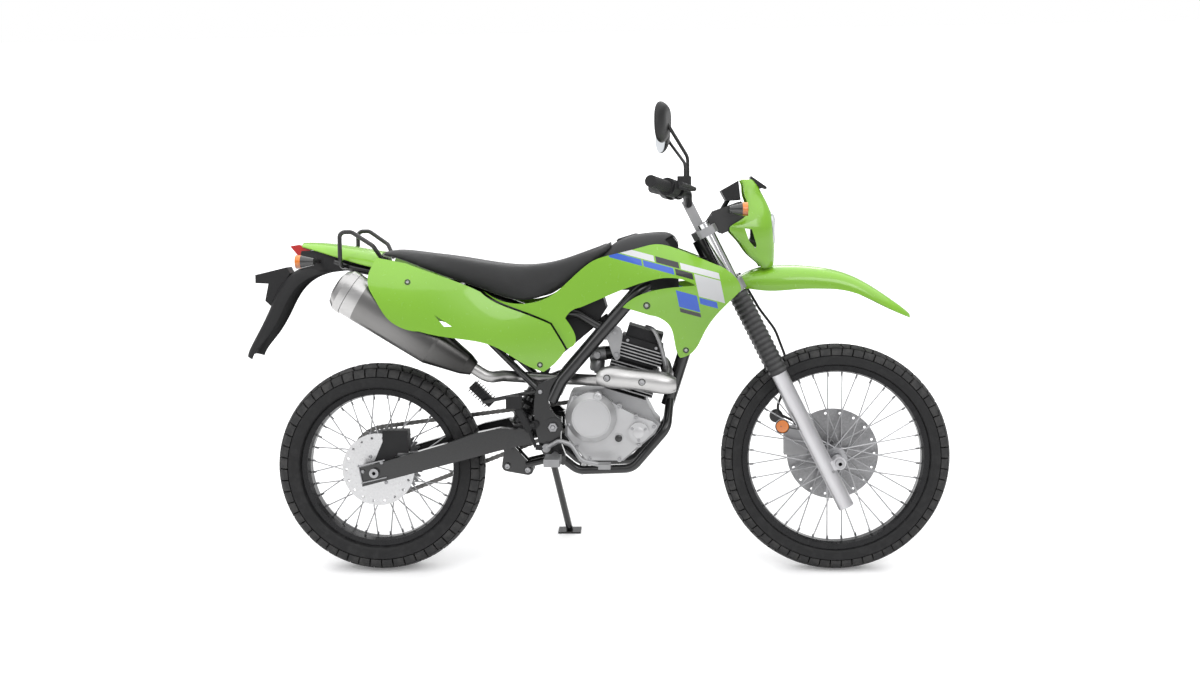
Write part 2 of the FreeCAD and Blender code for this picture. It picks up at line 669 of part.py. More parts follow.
for share in ((0.258, 0.846), (-0.06, 0.905)):
    subframe_parts.append(across_rod(*share, d.rail_spread, 0.85 * d.rail_radius))
made("subframe", joined(subframe_parts).cut(frame_shape))

# the swingarm: two box beams, a cross tube and two arms to the pivot
BEAM_SHARES = ((0.387, 0.373), (0.49, 0.395), (0.49, 0.429), (0.393, 0.44), (0.316, 0.425), (0.229, 0.396))
end_reach = 1.9 * d.swing_cross_radius
beam_end = [(1.3 * d.swing_cross_radius, d.rear_tyre_radius + 1.36 * d.swing_cross_radius),
            (-end_reach, d.rear_tyre_radius + 0.6 * d.swing_cross_radius),
            (-0.8 * end_reach, d.rear_tyre_radius - 1.7 * d.swing_cross_radius)]
ARM_SHARES = ((0.429, 0.39), (0.579, 0.422), (0.579, 0.465), (0.429, 0.443))
swing_parts = [across_rod(0.455, 0.414, d.beam_inner + d.beam_wall, d.swing_cross_radius)]
for side in (-1, 1):
    for corners, low, wall in ((flat(BEAM_SHARES) + beam_end, d.beam_inner, d.beam_wall),
                               (flat(ARM_SHARES), d.swing_arm_inner, d.swing_arm_wall)):
        ends = sorted((side * low, side * (low + wall)))
        swing_parts.append(prism(corners, ends[0], ends[1]))
swing_shape = joined(swing_parts)
swing_shape = swing_shape.cut(across_rod(*SWING_PIVOT_SHARE, 2 * d.beam_inner,
                                         d.pivot_pin_radius + d.seat_gap))
axle_hole = Part.makeCylinder(d.axle_radius + d.seat_gap, 4 * d.beam_inner,
                              V(0, -2 * d.beam_inner, d.rear_tyre_radius), ACROSS)
made("swingarm", swing_shape.cut(axle_hole))

# the shock absorber: a damper in its spring, between a frame lug and the rocker below
SHOCK_TOP_SHARE = (0.53, 0.605)
SHOCK_FOOT_SHARE = (0.4, 0.36)
shock_top = at(*SHOCK_TOP_SHARE)
shock_foot = at(*SHOCK_FOOT_SHARE)
shock_way = (shock_top - shock_foot).normalize()
shock_length = (shock_top - shock_foot).Length
shock_turn = FreeCAD.Rotation(V(0, 0, 1), shock_way)
shock = new_body("shock_spring")
spring_low = 0.28 * shock_length
spring_high = 0.9 * shock_length
steps = int(d.spring_turns)
spring_line = []
for number in range(steps):
    low_share = number / steps
    high_share = (number + 0.5) / steps
    span = spring_high - spring_low
    spring_line += [(d.shock_radius + d.spring_wire / 2, spring_low + span * low_share),
                    (d.spring_radius, spring_low + span * (low_share + high_share) / 2),
                    (d.shock_radius + d.spring_wire / 2, spring_low + span * high_share)]
turn(shock, outline(shock, "shock_section",
                    [(0, spring_low)] + spring_line + [(d.shock_radius, spring_high), (0, spring_high)]))
doc.recompute()
spring = shock.Shape.copy()
spring.Placement = FreeCAD.Placement(shock_foot, shock_turn)
ROCKER_SHARES = ((0.41, 0.361), (0.402, 0.313), (0.466, 0.302))
LINK_SHARES = ((0.462, 0.318), (0.552, 0.338))
rocker = eyed_plate(flat(ROCKER_SHARES), d.rocker_eye, -d.rocker_half, -d.rocker_half + d.rocker_wall)
rocker_bolts = [across_rod(*share, d.rocker_half + d.boss_rise, 0.6 * d.rocker_eye)
                for share in ROCKER_SHARES]
link_low = -d.rocker_half - d.rocker_wall
link = rod(at(*LINK_SHARES[0], link_low), at(*LINK_SHARES[1], link_low), 0.6 * d.rocker_eye)
shock_parts = [spring, rod(shock_foot, shock_top, d.spring_wire * 2), rocker, mirrored(rocker),
               link, mirrored(link)] + rocker_bolts
shock_parts += [across_rod(*share, d.rocker_half, d.spring_wire * 1.5)
                for share in (SHOCK_FOOT_SHARE, SHOCK_TOP_SHARE)]
made("shock", joined(shock_parts).cut(swing_shape).cut(frame_shape))

# the engine: cases, covers, finned barrel and head
CASE_SHARES = ((0.594, 0.496), (0.607, 0.536), (0.713, 0.5508), (0.7233, 0.5478), (0.8388, 0.5144),
               (0.867, 0.462), (0.883, 0.445), (0.866, 0.416), (0.769, 0.337), (0.653, 0.337),
               (0.588, 0.413))
CASE_LEFT_SHARE = 0.74
GENERATOR_SHARE = (0.746, 0.43)
case = new_body("engine_case")
case_left = d.case_half * CASE_LEFT_SHARE
slab(case, "case_side", flat(CASE_SHARES), -d.case_half, case_left)
generator_place = (head_x * GENERATOR_SHARE[0], head_z * GENERATOR_SHARE[1])
drum(case, "generator_side", generator_place, d.generator_radius, case_left, case_left + d.generator_depth)
keep(case)

cover = new_body("clutch_cover")
COVER_SHARES = ((0.602, 0.5), (0.614, 0.53), (0.705, 0.535), (0.76, 0.497), (0.815, 0.47), (0.86, 0.456),
                (0.874, 0.444), (0.86, 0.422), (0.766, 0.344), (0.656, 0.344), (0.598, 0.416))
cover_far = -(d.case_half + d.seat_gap)
base_far = cover_far - d.cover_base_depth
clutch_place = (head_x * 0.6735, head_z * 0.47)
pump_place = (head_x * 0.817, head_z * 0.426)
slab(cover, "cover_side", flat(COVER_SHARES), base_far, cover_far)
rim_far = base_far - d.clutch_rim_depth
drum(cover, "clutch_rim", clutch_place, d.clutch_cover_radius, rim_far, cover_far)
clutch_face = drum(cover, "clutch_side", clutch_place, d.clutch_cover_radius,
                   base_far - d.clutch_cover_depth, rim_far)
clutch_face.TaperAngle = -d.clutch_slope
clutch_face.setExpression("TaperAngle", formula_of(-d.clutch_slope))
drum(cover, "pump_side", pump_place, d.pump_cover_radius, base_far - d.clutch_cover_depth / 2, cover_far)
drum(cover, "sight_glass", (head_x * 0.755, head_z * 0.408), d.sight_radius, base_far - d.boss_rise,
     cover_far)
BOSS_SHARES = ((0.623, 0.525), (0.757, 0.5), (0.604, 0.45), (0.808, 0.468), (0.864, 0.441), (0.817, 0.389),
               (0.757, 0.347), (0.665, 0.347), (0.626, 0.384))
bosses = rings(cover, "bolt_bosses", [(head_x * along, head_z * up, d.boss_radius)
                                      for along, up in BOSS_SHARES], "XZ_Plane", -cover_far)
pad(cover, bosses, cover_far - base_far + d.boss_rise)
keep(cover)

cylinder_foot = at(0.781, 0.5311)
CYLINDER = FreeCAD.Placement(cylinder_foot, FreeCAD.Rotation(V(0, 1, 0), d.cylinder_lean))


def square(half):
    return [(-half, -half), (half, -half), (half, half), (-half, half)]


def finned(label, core_side, core_low, core_high, fin_side, first_fin, fin_count):
    """A square casting with a row of cooling fins."""
    body = new_body(label)
    pad(body, outline(body, label + "_core", square(core_side / 2), "XY_Plane", core_low),
        core_high - core_low)
    fin = pad(body, outline(body, label + "_fin", square(fin_side / 2), "XY_Plane", first_fin), d.fin_wall)
    fins = body.newObject("PartDesign::LinearPattern", label + "_fins")
    fins.Originals = [fin]
    fins.Direction = (plane_of(body, "Z_Axis"), [""])
    fins.Length = d.fin_pitch * (fin_count - 1)
    fins.setExpression("Length", formula_of(d.fin_pitch * (fin_count - 1)))
    fins.Occurrences = fin_count
    body.Tip = fins
    return body


barrel_fins = 9
head_fins = 5
keep(finned("cylinder", d.barrel_side, d.seat_gap, d.barrel_height, d.fin_side, d.fin_pitch, barrel_fins),
     CYLINDER)
head_low_face = d.barrel_height + d.seat_gap
head = finned("cylinder_head", d.head_side, head_low_face, head_low_face + d.head_height, d.head_fin_side,
              head_low_face + d.fin_pitch, head_fins)
pad(head, outline(head, "valve_cover", square(d.head_side * 0.42), "XY_Plane",
                  head_low_face + d.head_height),
    d.valve_cover_height)
keep(head, CYLINDER)
doc.recompute()

# the bracket that ties the head to the frame, and the finned regulator on the subframe
BRACKET_GROUPS = (((0.747, 0.732), (0.762, 0.726), (0.763, 0.668), (0.761, 0.641)),
                  ((0.761, 0.641), (0.75, 0.632), (0.739, 0.646), (0.71, 0.69)),
                  ((0.71, 0.69), (0.709, 0.703), (0.728, 0.714), (0.747, 0.732)))
bracket_near = -d.head_fin_side / 2 - d.panel_gap
head_bracket = curved_outline(BRACKET_GROUPS, bracket_near - d.bracket_wall, bracket_near)
head_bolt = at(0.75, 0.648, bracket_near)
head_bracket = head_bracket.fuse(rod(head_bolt - ACROSS * (d.bracket_wall + d.boss_rise), head_bolt
                                     + ACROSS * (d.head_fin_side - d.head_side), d.boss_radius))
made("head_bracket", largest(head_bracket.cut(head.Shape).cut(frame_shape)))
regulator_fins = 8
regulator = finned("regulator", d.regulator_side, 0, d.regulator_length, d.regulator_fin_side, d.fin_pitch,
                   regulator_fins)
keep(regulator, FreeCAD.Placement(at(*REGULATOR_SHARE, -d.regulator_place),
                                  FreeCAD.Rotation(V(0, 1, 0), -45)))
doc.recompute()

# the air box and its intake pipe
AIR_BOX_SHARES = ((0.413, 0.63), (0.558, 0.63), (0.682, 0.726), (0.72, 0.78), (0.71, 0.812), (0.58, 0.79),
                  (0.434, 0.768))
air_box = prism(flat(AIR_BOX_SHARES), -d.air_box_half, d.air_box_half)
intake = rod(at(0.7, 0.75), at(0.77, 0.66), d.intake_radius)
air_shape = joined([air_box, intake]).cut(head.Shape).cut(pieces["cylinder"].Shape)
air_shape = air_shape.cut(frame_shape).cut(pieces["subframe"].Shape)
air_shape = largest(air_shape)
made("air_box", air_shape)

# the exhaust: header pipe, heat shield and muffler
muffler_across = -d.muffler_place
MUFFLER_SHARES = ((-0.095, 0.858, 0.5, 0.5), (-0.089, 0.854, 0.8, 0.8), (-0.075, 0.845, 1.0, 1.0),
                  (-0.055, 0.833, 1.03, 1.03), (-0.054, 0.8325, 1.0, 1.0), (0.195, 0.6815, 0.9, 0.94),
                  (0.203, 0.677, 0.86, 0.9), (0.293, 0.629, 0.52, 0.6), (0.318, 0.6155, 0.34, 0.4))
muffler_middles = [at(along, up, muffler_across) for along, up, high, wide in MUFFLER_SHARES]
muffler_way = (muffler_middles[4] - muffler_middles[5]).normalize()
HEADER_SHARES = ((0.908, 0.588, -0.58), (0.898, 0.575, -0.92),
                 (0.723, 0.577, -0.94), (0.665, 0.576, -0.7), (0.615, 0.575, -0.45), (0.563, 0.575, -0.43),
                 (0.447, 0.582, -0.42), (0.4, 0.59, -0.72))
port_height = head_low_face + 0.35 * d.head_height
header_points = [CYLINDER.multVec(V(d.head_side / 2 - d.overrun, 0, port_height)),
                 CYLINDER.multVec(V(d.head_side / 2 + d.header_radius, -1.6 * d.header_radius, port_height))]
header_points += [at(along, up, d.muffler_place * across) for along, up, across in HEADER_SHARES]
header_points += [muffler_middles[-1] - muffler_way * (3 * d.header_radius),
                  muffler_middles[-1] - muffler_way * d.seat_gap]
header = tube(header_points, d.header_radius, 3 * d.header_radius)
made("exhaust_header", header.cut(head.Shape))


def shield_form(grow):
    sections = []
    for along, up, size in ((0.69, 0.587, 0.55), (0.715, 0.588, 0.95), (0.8, 0.582, 1.0), (0.9, 0.569, 1.0),
                            (0.932, 0.565, 0.6)):
        half = d.shield_radius * size + grow
        sections.append(oval(at(along, up, -0.93 * d.muffler_place), ACROSS, UP, half, half, 2.2))
    return loft(sections)


keep_side = prism(flat(((0.6, 0.5), (1, 0.5), (1, 0.7), (0.6, 0.7))), -2 * d.muffler_place,
                  -0.95 * d.muffler_place)
made("heat_shield", shield_form(0).cut(shield_form(-d.shield_wall)).common(keep_side).cut(header))

muffler_sections = []
for middle, (along, up, high, wide) in zip(muffler_middles, MUFFLER_SHARES):
    rise = muffler_way.cross(ACROSS).normalize()
    muffler_sections.append(oval(middle, ACROSS, rise, d.muffler_wide / 2 * wide, d.muffler_high / 2 * high,
                                 2.4))
hanger = rod(at(0.12, 0.74, 0.9 * muffler_across), at(0.15, 0.866, -d.rail_spread), 0.7 * d.rail_radius)
muffler_shape = joined([loft(muffler_sections[:4], True), loft(muffler_sections[4:], True),
                        rod(muffler_middles[3] - muffler_way * d.overrun, muffler_middles[3] + muffler_way
                            * d.overrun, d.muffler_wide / 3)])
hanger = largest(hanger.cut(muffler_shape).cut(pieces["subframe"].Shape))
made("muffler", Part.makeCompound([muffler_shape, hanger]))

# the fuel tank and the black cover over it
COVER_TOP_SHARES = ((0.694, 0.928, 0.917, 0.75), (0.758, 0.976, 0.939, 1.05), (0.82, 0.9945, 0.956, 1.2),
                    (0.865, 0.999, 0.962, 1.24), (0.908, 0.998, 0.962, 1.2), (0.942, 0.968, 0.945, 1.05))


def turning_room(low, high):
    """The room behind the head that a clamp sweeps between the fork's two stops, with a gap all round."""
    reach = math.hypot(d.clamp_offset, d.fork_spread + leg_wall) + d.running_gap
    side = [(-1.5 * d.clamp_neck - d.running_gap, 0)]
    for heading in (90 + d.steering_swing + d.running_gap, 90 + 0.7 * d.steering_swing, 90, 45):
        side.append((reach * cosine(heading), -reach * sine(heading)))
    corners = side + [(x, -y) for x, y in reversed(side[1:])]
    rim = Part.makePolygon([V(x, y, low) for x, y in corners + corners[:1]])
    room = Part.Face(rim).extrude(V(0, 0, high - low))
    room.Placement = STEERING
    return room


def cover_line(along, top, edge, wide, drop):
    half = d.tank_cover_half * wide
    high = head_z * top - drop
    low = head_z * edge - drop
    middle = high - (high - low) * 0.22
    return [V(head_x * along, -half, low), V(head_x * along, -half * 0.72, middle),
            V(head_x * along, 0, high),
            V(head_x * along, half * 0.72, middle), V(head_x * along, half, low)]


cover_down = V(0, 0, -d.panel_wall)
clamp_room = turning_room(upper_clamp_low - d.running_gap, d.fork_length + d.upper_clamp_height)
tank_cover = loft([skin_section(cover_line(*row, 0), cover_down) for row in COVER_TOP_SHARES])
tank_cover = largest(tank_cover.cut(clamp_room))
CAP_SHARE = (0.785, 0.984)
cap_up = V(-0.3, 0, 1).normalize()
cap_middle = at(*CAP_SHARE)
tank_cover = tank_cover.cut(rod(cap_middle - cap_up * 2 * d.cap_height,
                                cap_middle + cap_up * 2 * d.cap_height,
                                d.cap_radius + d.panel_gap))
made("tank_cover", tank_cover)
cap_low = cap_middle - cap_up * 0.6 * d.cap_height
cap = rod(cap_low, cap_low + cap_up * 0.75 * d.cap_height, d.cap_radius)
cap = cap.fuse(Part.makeCone(d.cap_radius, 0.8 * d.cap_radius, 0.25 * d.cap_height,
                             cap_low + cap_up * 0.75 * d.cap_height, cap_up))
made("fuel_cap", cap)

tank_sections = []
for along, top, edge, wide in COVER_TOP_SHARES[1:]:
    line = cover_line(along, top, edge, wide * 0.92, d.panel_wall + d.panel_gap)
    low = head_z * 0.835
    first = V(line[0].x, line[0].y, low)
    last = V(line[-1].x, line[-1].y, low)
    tank_sections.append(Part.Wire([smooth(line), Part.LineSegment(line[-1], last).toShape(),
                                    Part.LineSegment(last, first).toShape(),
                                    Part.LineSegment(first, line[0]).toShape()]))
neck = rod(cap_middle - cap_up * 5 * d.cap_height, cap_low, 0.8 * d.cap_radius)
tank_shape = loft(tank_sections).cut(rod(cap_low, cap_middle + cap_up * 2 * d.cap_height,
                                         d.cap_radius + d.panel_gap)).fuse(neck)
tank_shape = largest(tank_shape.cut(frame_shape).cut(air_shape).cut(tank_cover).cut(clamp_room))
made("fuel_tank", tank_shape)

# the seat
SEAT_SHARES = ((0.03, 0.9525, 0.941, 0.62), (0.062, 0.954, 0.936, 0.78), (0.152, 0.9435, 0.906, 0.9),
               (0.254, 0.93, 0.87, 0.97), (0.356, 0.914, 0.836, 1.0), (0.473, 0.9045, 0.806, 0.98),
               (0.558, 0.914, 0.829, 0.88), (0.62, 0.931, 0.87, 0.78), (0.682, 0.952, 0.917, 0.68),
               (0.735, 0.976, 0.95, 0.6))
seat_sections = []
for along, top, low, wide in SEAT_SHARES:
    half = d.seat_half * wide
    high = head_z * top
    base = head_z * low
    tall = high - base
    crown = [V(head_x * along, -half, base), V(head_x * along, -half, base + 0.5 * tall),
             V(head_x * along, -0.8 * half, high - 0.06 * tall), V(head_x * along, 0, high),
             V(head_x * along, 0.8 * half, high - 0.06 * tall), V(head_x * along, half, base + 0.5 * tall),
             V(head_x * along, half, base)]
    seat_sections.append(Part.Wire([smooth(crown), Part.LineSegment(crown[-1], crown[0]).toShape()]))
cover_block = loft([skin_section(cover_line(*row, -d.panel_gap), V(0, 0, -head_z * 0.2))
                    for row in COVER_TOP_SHARES])
made("seat", loft(seat_sections).cut(cover_block).cut(pieces["subframe"].Shape).cut(air_shape))

# side covers and shrouds: thin skins cut to their side view outline
def bulged(columns, rows, reach_shares, reach, inward):
    """A skin whose distance across is given on a grid, in shares of its greatest reach."""
    grid = []
    for along, line in zip(columns, reach_shares):
        grid.append([V(head_x * along, -(reach * share - inward), head_z * up)
                     for up, share in zip(rows, line)])
    surface = Part.BSplineSurface()
    surface.interpolate(grid)
    return surface.toShape()


SIDE_COVER_GROUPS = (
    ((0.014, 0.9), (0.013, 0.856), (0.033, 0.82), (0.073, 0.763), (0.101, 0.744), (0.163, 0.729)),
    ((0.163, 0.729), (0.281, 0.706), (0.386, 0.682), (0.465, 0.635), (0.531, 0.606)),
    ((0.531, 0.606), (0.546, 0.615), (0.598, 0.668)), ((0.598, 0.668), (0.572, 0.712), (0.553, 0.742)),
    ((0.553, 0.742), (0.518, 0.757), (0.443, 0.785), (0.369, 0.818), (0.345, 0.837)),
    ((0.345, 0.837), (0.27, 0.868), (0.195, 0.894), (0.121, 0.92)), ((0.121, 0.92), (0.03, 0.937)),
    ((0.03, 0.937), (0.014, 0.9)))
SLOT_GROUPS = (((0.21, 0.775), (0.262, 0.741)), ((0.262, 0.741), (0.238, 0.741)),
               ((0.238, 0.741), (0.21, 0.775)))
SIDE_COLUMNS = (0.0, 0.2, 0.4, 0.62)
SIDE_ROWS = (0.6, 0.72, 0.83, 0.94)
SIDE_REACHES = ((0.96, 1.0, 0.99, 0.78), (0.98, 1.0, 0.93, 0.7), (0.84, 0.86, 0.76, 0.6),
                (0.64, 0.66, 0.62, 0.52))
side_reach = d.muffler_place + d.muffler_wide / 2 + d.running_gap + d.panel_wall
side_skin = bulged(SIDE_COLUMNS, SIDE_ROWS, SIDE_REACHES, side_reach, 0).extrude(V(0, d.panel_wall, 0))
side_block = curved_outline(SIDE_COVER_GROUPS, -2 * side_reach, 0)
side_slot = curved_outline(SLOT_GROUPS, -2 * side_reach, 0)
side_cover = side_skin.common(side_block).cut(side_slot)
side_stubs = [stub(side_cover, at(along, up, -d.rail_spread), at(along, up, -side_reach), d.stub_radius)
              for along, up in ((0.4, 0.79), (0.15, 0.872))]
side_cover = joined([side_cover] + side_stubs).cut(pieces["subframe"].Shape)
side_cover = largest(side_cover.cut(pieces["muffler"].Shape))
made("side_cover_right", side_cover)
made("side_cover_left", mirrored(side_cover))

SHROUD_GROUPS = (
    ((0.602, 0.67), (0.614, 0.674), (0.597, 0.757)), ((0.597, 0.757), (0.607, 0.771), (0.643, 0.788)),
    ((0.643, 0.788), (0.717, 0.817), (0.825, 0.856), (0.911, 0.872), (0.991, 0.851)),
    ((0.991, 0.851), (0.932, 0.846), (0.871, 0.837), (0.802, 0.812), (0.772, 0.788)),
    ((0.772, 0.788), (0.824, 0.774), (0.855, 0.765)), ((0.855, 0.765), (0.898, 0.75), (0.913, 0.736),
                                                      (0.925, 0.704), (0.944, 0.643)),
    ((0.944, 0.643), (0.982, 0.66), (1.02, 0.723), (1.062, 0.778), (1.107, 0.821), (1.124, 0.837)),
    ((1.124, 0.837), (1.123, 0.846), (1.093, 0.887), (1.068, 0.903)),
    ((1.068, 0.903), (1.008, 0.926), (0.942, 0.951), (0.875, 0.966), (0.826, 0.957), (0.743, 0.938),
     (0.689, 0.923), (0.663, 0.908)),
    ((0.663, 0.908), (0.6, 0.856), (0.554, 0.822), (0.473, 0.8), (0.349, 0.838)),
    ((0.349, 0.838), (0.371, 0.8205), (0.445, 0.788), (0.52, 0.76), (0.556, 0.744)),
    ((0.556, 0.744), (0.575, 0.714), (0.602, 0.67)))
SHROUD_COLUMNS = (0.33, 0.52, 0.7, 0.88, 1.14)
SHROUD_ROWS = (0.63, 0.76, 0.86, 0.98)
SHROUD_REACHES = ((0.6, 0.6, 0.57, 0.5), (0.6, 0.61, 0.58, 0.5), (0.62, 0.62, 0.6, 0.52),
                  (0.66, 0.76, 0.8, 0.56), (0.7, 0.9, 1.0, 0.9))
shroud_reach = side_reach
shroud_skin = bulged(SHROUD_COLUMNS, SHROUD_ROWS, SHROUD_REACHES, shroud_reach, 0)
shroud_block = curved_outline(SHROUD_GROUPS, -2 * shroud_reach, 0)
shroud = shroud_skin.extrude(V(0, d.panel_wall, 0)).common(shroud_block)
shroud = largest(shroud.cut(tank_cover).cut(tank_shape))
shroud_stubs = [stub(shroud, at(along, up, -across), at(along, up, -shroud_reach), d.stub_radius)
                for along, up, across in ((0.86, 0.855, 0.9 * d.spar_spread), (0.53, 0.778, d.rail_spread),
                                          (0.7, 0.72, d.spar_spread))]
shroud = joined([shroud] + shroud_stubs).cut(frame_shape).cut(pieces["subframe"].Shape).cut(tank_shape)
shroud = largest(shroud.cut(air_shape))
made("shroud_right", shroud)
made("shroud_left", mirrored(shroud))

# the green tail and the black rear mudguard below it
TAIL_SHARES = ((0.028, 0.951, 0.906, 1.08), (-0.101, 0.972, 0.938, 0.92), (-0.17, 0.979, 0.957, 0.74),
               (-0.224, 0.98, 0.97, 0.5))


def arched_line(middle, half, drop, shoulder_share=0.75, fall_share=0.35):
    """A line across the machine that falls from its middle to both edges."""
    return [middle + V(0, -half, -drop), middle + V(0, -half * shoulder_share, -drop * fall_share), middle,
            middle + V(0, half * shoulder_share, -drop * fall_share), middle + V(0, half, -drop)]


tail_sections = [skin_section(arched_line(at(along, top), d.tail_half * wide, head_z * (top - edge)),
                              cover_down)
                 for along, top, edge, wide in TAIL_SHARES]
tail = loft(tail_sections).cut(pieces["seat"].Shape)
tail_stubs = [stub(tail, at(-0.09, 0.912, side * 0.9 * d.rail_spread),
                   at(-0.09, 1, side * 0.9 * d.rail_spread),
                   d.stub_radius) for side in (-1, 1)]
tail = largest(joined([tail] + tail_stubs).cut(pieces["subframe"].Shape))
made("tail_fender", tail)

MUDGUARD_SHARES = ((0.02, 0.922, 0.018, 1.15), (-0.09, 0.922, 0.022, 1.1), (-0.19, 0.915, 0.03, 1.05),
                   (-0.255, 0.897, 0.042, 0.98), (-0.305, 0.85, 0.045, 0.93), (-0.338, 0.79, 0.043, 0.9),
                   (-0.378, 0.715, 0.034, 0.9), (-0.41, 0.648, 0.02, 0.92))
MUDGUARD_WALL_SHARES = ((0, 0, -1), (0, 0, -1), (0.2, 0, -1), (0.5, 0, -0.85), (0.75, 0, -0.65),
                        (0.87, 0, -0.5), (0.9, 0, -0.42), (0.9, 0, -0.4))
mud_sections = []
for (along, up, drop, wide), way in zip(MUDGUARD_SHARES, MUDGUARD_WALL_SHARES):
    inward = V(*way).normalize()
    half = d.mudguard_half * wide
    middle = at(along, up)
    fall = inward * (head_z * drop)
    line = [middle + V(0, -half, 0) + fall, middle + V(0, -0.8 * half, 0) + fall * 0.25, middle,
            middle + V(0, 0.8 * half, 0) + fall * 0.25, middle + V(0, half, 0) + fall]
    mud_sections.append(skin_section(line, inward * d.panel_wall))
mudguard = loft(mud_sections)
plate_arm = prism(flat(((-0.27, 0.89), (-0.28, 0.908), (-0.381, 0.886), (-0.381, 0.862), (-0.34, 0.86),
                        (-0.352, 0.81), (-0.33, 0.79), (-0.31, 0.84))), -0.6 * d.lamp_half,
                  0.6 * d.lamp_half)
plate = prism(flat(((-0.352, 0.812), (-0.37, 0.812), (-0.427, 0.722), (-0.41, 0.716))), -2 * d.lamp_half,
              2 * d.lamp_half)
plate_foot = prism(flat(((-0.345, 0.8), (-0.368, 0.8), (-0.4, 0.735), (-0.37, 0.735))), -0.5 * d.lamp_half,
                   0.5 * d.lamp_half)
BELLY_SHARES = ((0.02, 0.9, 0.93, 0.85), (-0.08, 0.898, 0.945, 0.85), (-0.15, 0.898, 0.952, 0.78),
                (-0.2, 0.9, 0.956, 0.62), (-0.236, 0.905, 0.956, 0.5))


def belly(inset, drop):
    """The box below the tail, between the mudguard and the tail's skin."""
    sections = []
    for along, low, high, wide in BELLY_SHARES:
        half = d.tail_half * wide - inset
        base = head_z * low - drop
        top = head_z * high - inset
        corners = [V(head_x * along, y, z) for y, z in ((-half, base), (half, base), (0.9 * half, top),
                                                        (-0.9 * half, top))]
        sections.append(Part.makePolygon(corners + corners[:1]))
    return loft(sections, True)


mud_shape = joined([mudguard, plate_arm, plate, plate_foot, belly(0, 0).cut(belly(d.panel_wall, d.overrun))])
mud_shape = largest(mud_shape.cut(pieces["subframe"].Shape).cut(tail).cut(pieces["seat"].Shape))
made("rear_mudguard", mud_shape)

# rear lamps: the tail lamp and two indicators on their stalks
lamp_block = prism(flat(((-0.262, 0.97), (-0.234, 0.974), (-0.2, 0.962), (-0.2, 0.925), (-0.232, 0.935))),
                   -d.lamp_half, d.lamp_half).cut(mud_shape).cut(tail)


def turn_signal(lens, way):
    """An indicator: a round lens on a tapered body."""
    body_foot = lens + V(way * d.indicator_lens_depth, 0, 0)
    body_length = d.indicator_depth - d.indicator_lens_depth
    return [rod(lens, body_foot, d.indicator_radius),
            Part.makeCone(0.94 * d.indicator_radius, 0.5 * d.indicator_radius, body_length, body_foot,
                          V(way, 0, 0))]


indicator_lens = at(-0.213, 0.927, -d.indicator_spread)
stalk_end = indicator_lens + V(0.8 * d.indicator_depth, 0, 0)
rear_stalk = rod(stalk_end, V(stalk_end.x, 0, stalk_end.z), d.stalk_radius).cut(mud_shape)
rear_stalk = max(rear_stalk.Solids, key=lambda one: -one.CenterOfMass.y)
rear_indicator = joined(turn_signal(indicator_lens, 1) + [rear_stalk])
made("rear_lamps", Part.makeCompound([largest(lamp_block), rear_indicator, mirrored(rear_indicator)]))

# grab rails beside the seat
GRAB_SHARES = ((-0.07, 0.906, 0.55), (-0.088, 0.912, 0.98), (-0.087, 1.01, 1.0), (-0.05, 1.01, 1.0),
               (0.012, 0.97, 0.9), (0.035, 0.93, 0.72))
grab = tube([at(along, up, -d.grab_spread * across) for along, up, across in GRAB_SHARES],
            d.grab_radius, 3 * d.grab_radius)
grab = grab.cut(pieces["subframe"].Shape).cut(tail).cut(mud_shape).cut(pieces["seat"].Shape)
made("grab_rails", both_sides(largest(grab)))

# foot controls: two pegs, the brake pedal and the shift lever
plate_face = d.plate_place + d.plate_wall + d.seat_gap
peg_middle = at(0.56, 0.36)
peg = Part.makeBox(d.peg_width, d.peg_length, d.peg_height,
                   V(peg_middle.x - d.peg_width / 2, -plate_face - d.peg_width - d.peg_length,
                     peg_middle.z - d.peg_height / 2))
peg_arm = rod(V(peg_middle.x, -plate_face, peg_middle.z), V(peg_middle.x, -plate_face - 1.2 * d.peg_width,
                                                            peg_middle.z), d.peg_height / 2)
right_peg = joined([peg, peg_arm])
pedal_place = -plate_face
PEDAL_SHARES = ((0.535, 0.384, 1.14), (0.575, 0.407, 1.22), (0.612, 0.398, 1.36), (0.645, 0.352, 1.46),
                (0.71, 0.34, 1.48))
pedal = tube([at(along, up, pedal_place * across) for along, up, across in PEDAL_SHARES], d.pedal_radius,
             4 * d.pedal_radius)
pedal_pivot = PEDAL_SHARES[0][:2]
pedal_hub = rod(at(*pedal_pivot, pedal_place), at(*pedal_pivot, 1.2 * pedal_place), 1.8 * d.pedal_radius)
pedal_along, pedal_up, pedal_across = PEDAL_SHARES[-1]
pedal_middle = at(pedal_along, pedal_up, pedal_place * pedal_across)
pedal_pad = Part.makeBox(0.8 * d.pedal_tip, d.pedal_tip, 2 * d.pedal_radius,
                         pedal_middle - V(0.3 * d.pedal_tip, 0.7 * d.pedal_tip, d.pedal_radius))
brake_pedal = joined([pedal, pedal_hub, pedal_pad]).cut(pieces["clutch_cover"].Shape)
shift_foot = d.case_half * CASE_LEFT_SHARE + d.seat_gap
lever_spread = plate_face
lever_tip = at(0.79, 0.39, 1.2 * lever_spread)
lever_points = [at(0.655, 0.4, shift_foot), at(0.655, 0.4, lever_spread), lever_tip]
shift = joined([tube(lever_points, d.pedal_radius, 2 * d.pedal_radius),
                rod(lever_tip - ACROSS * d.pedal_radius, lever_tip + ACROSS * d.pedal_tip,
                    1.3 * d.pedal_radius)])
made("foot_controls", Part.makeCompound([right_peg, mirrored(right_peg), brake_pedal, shift]))

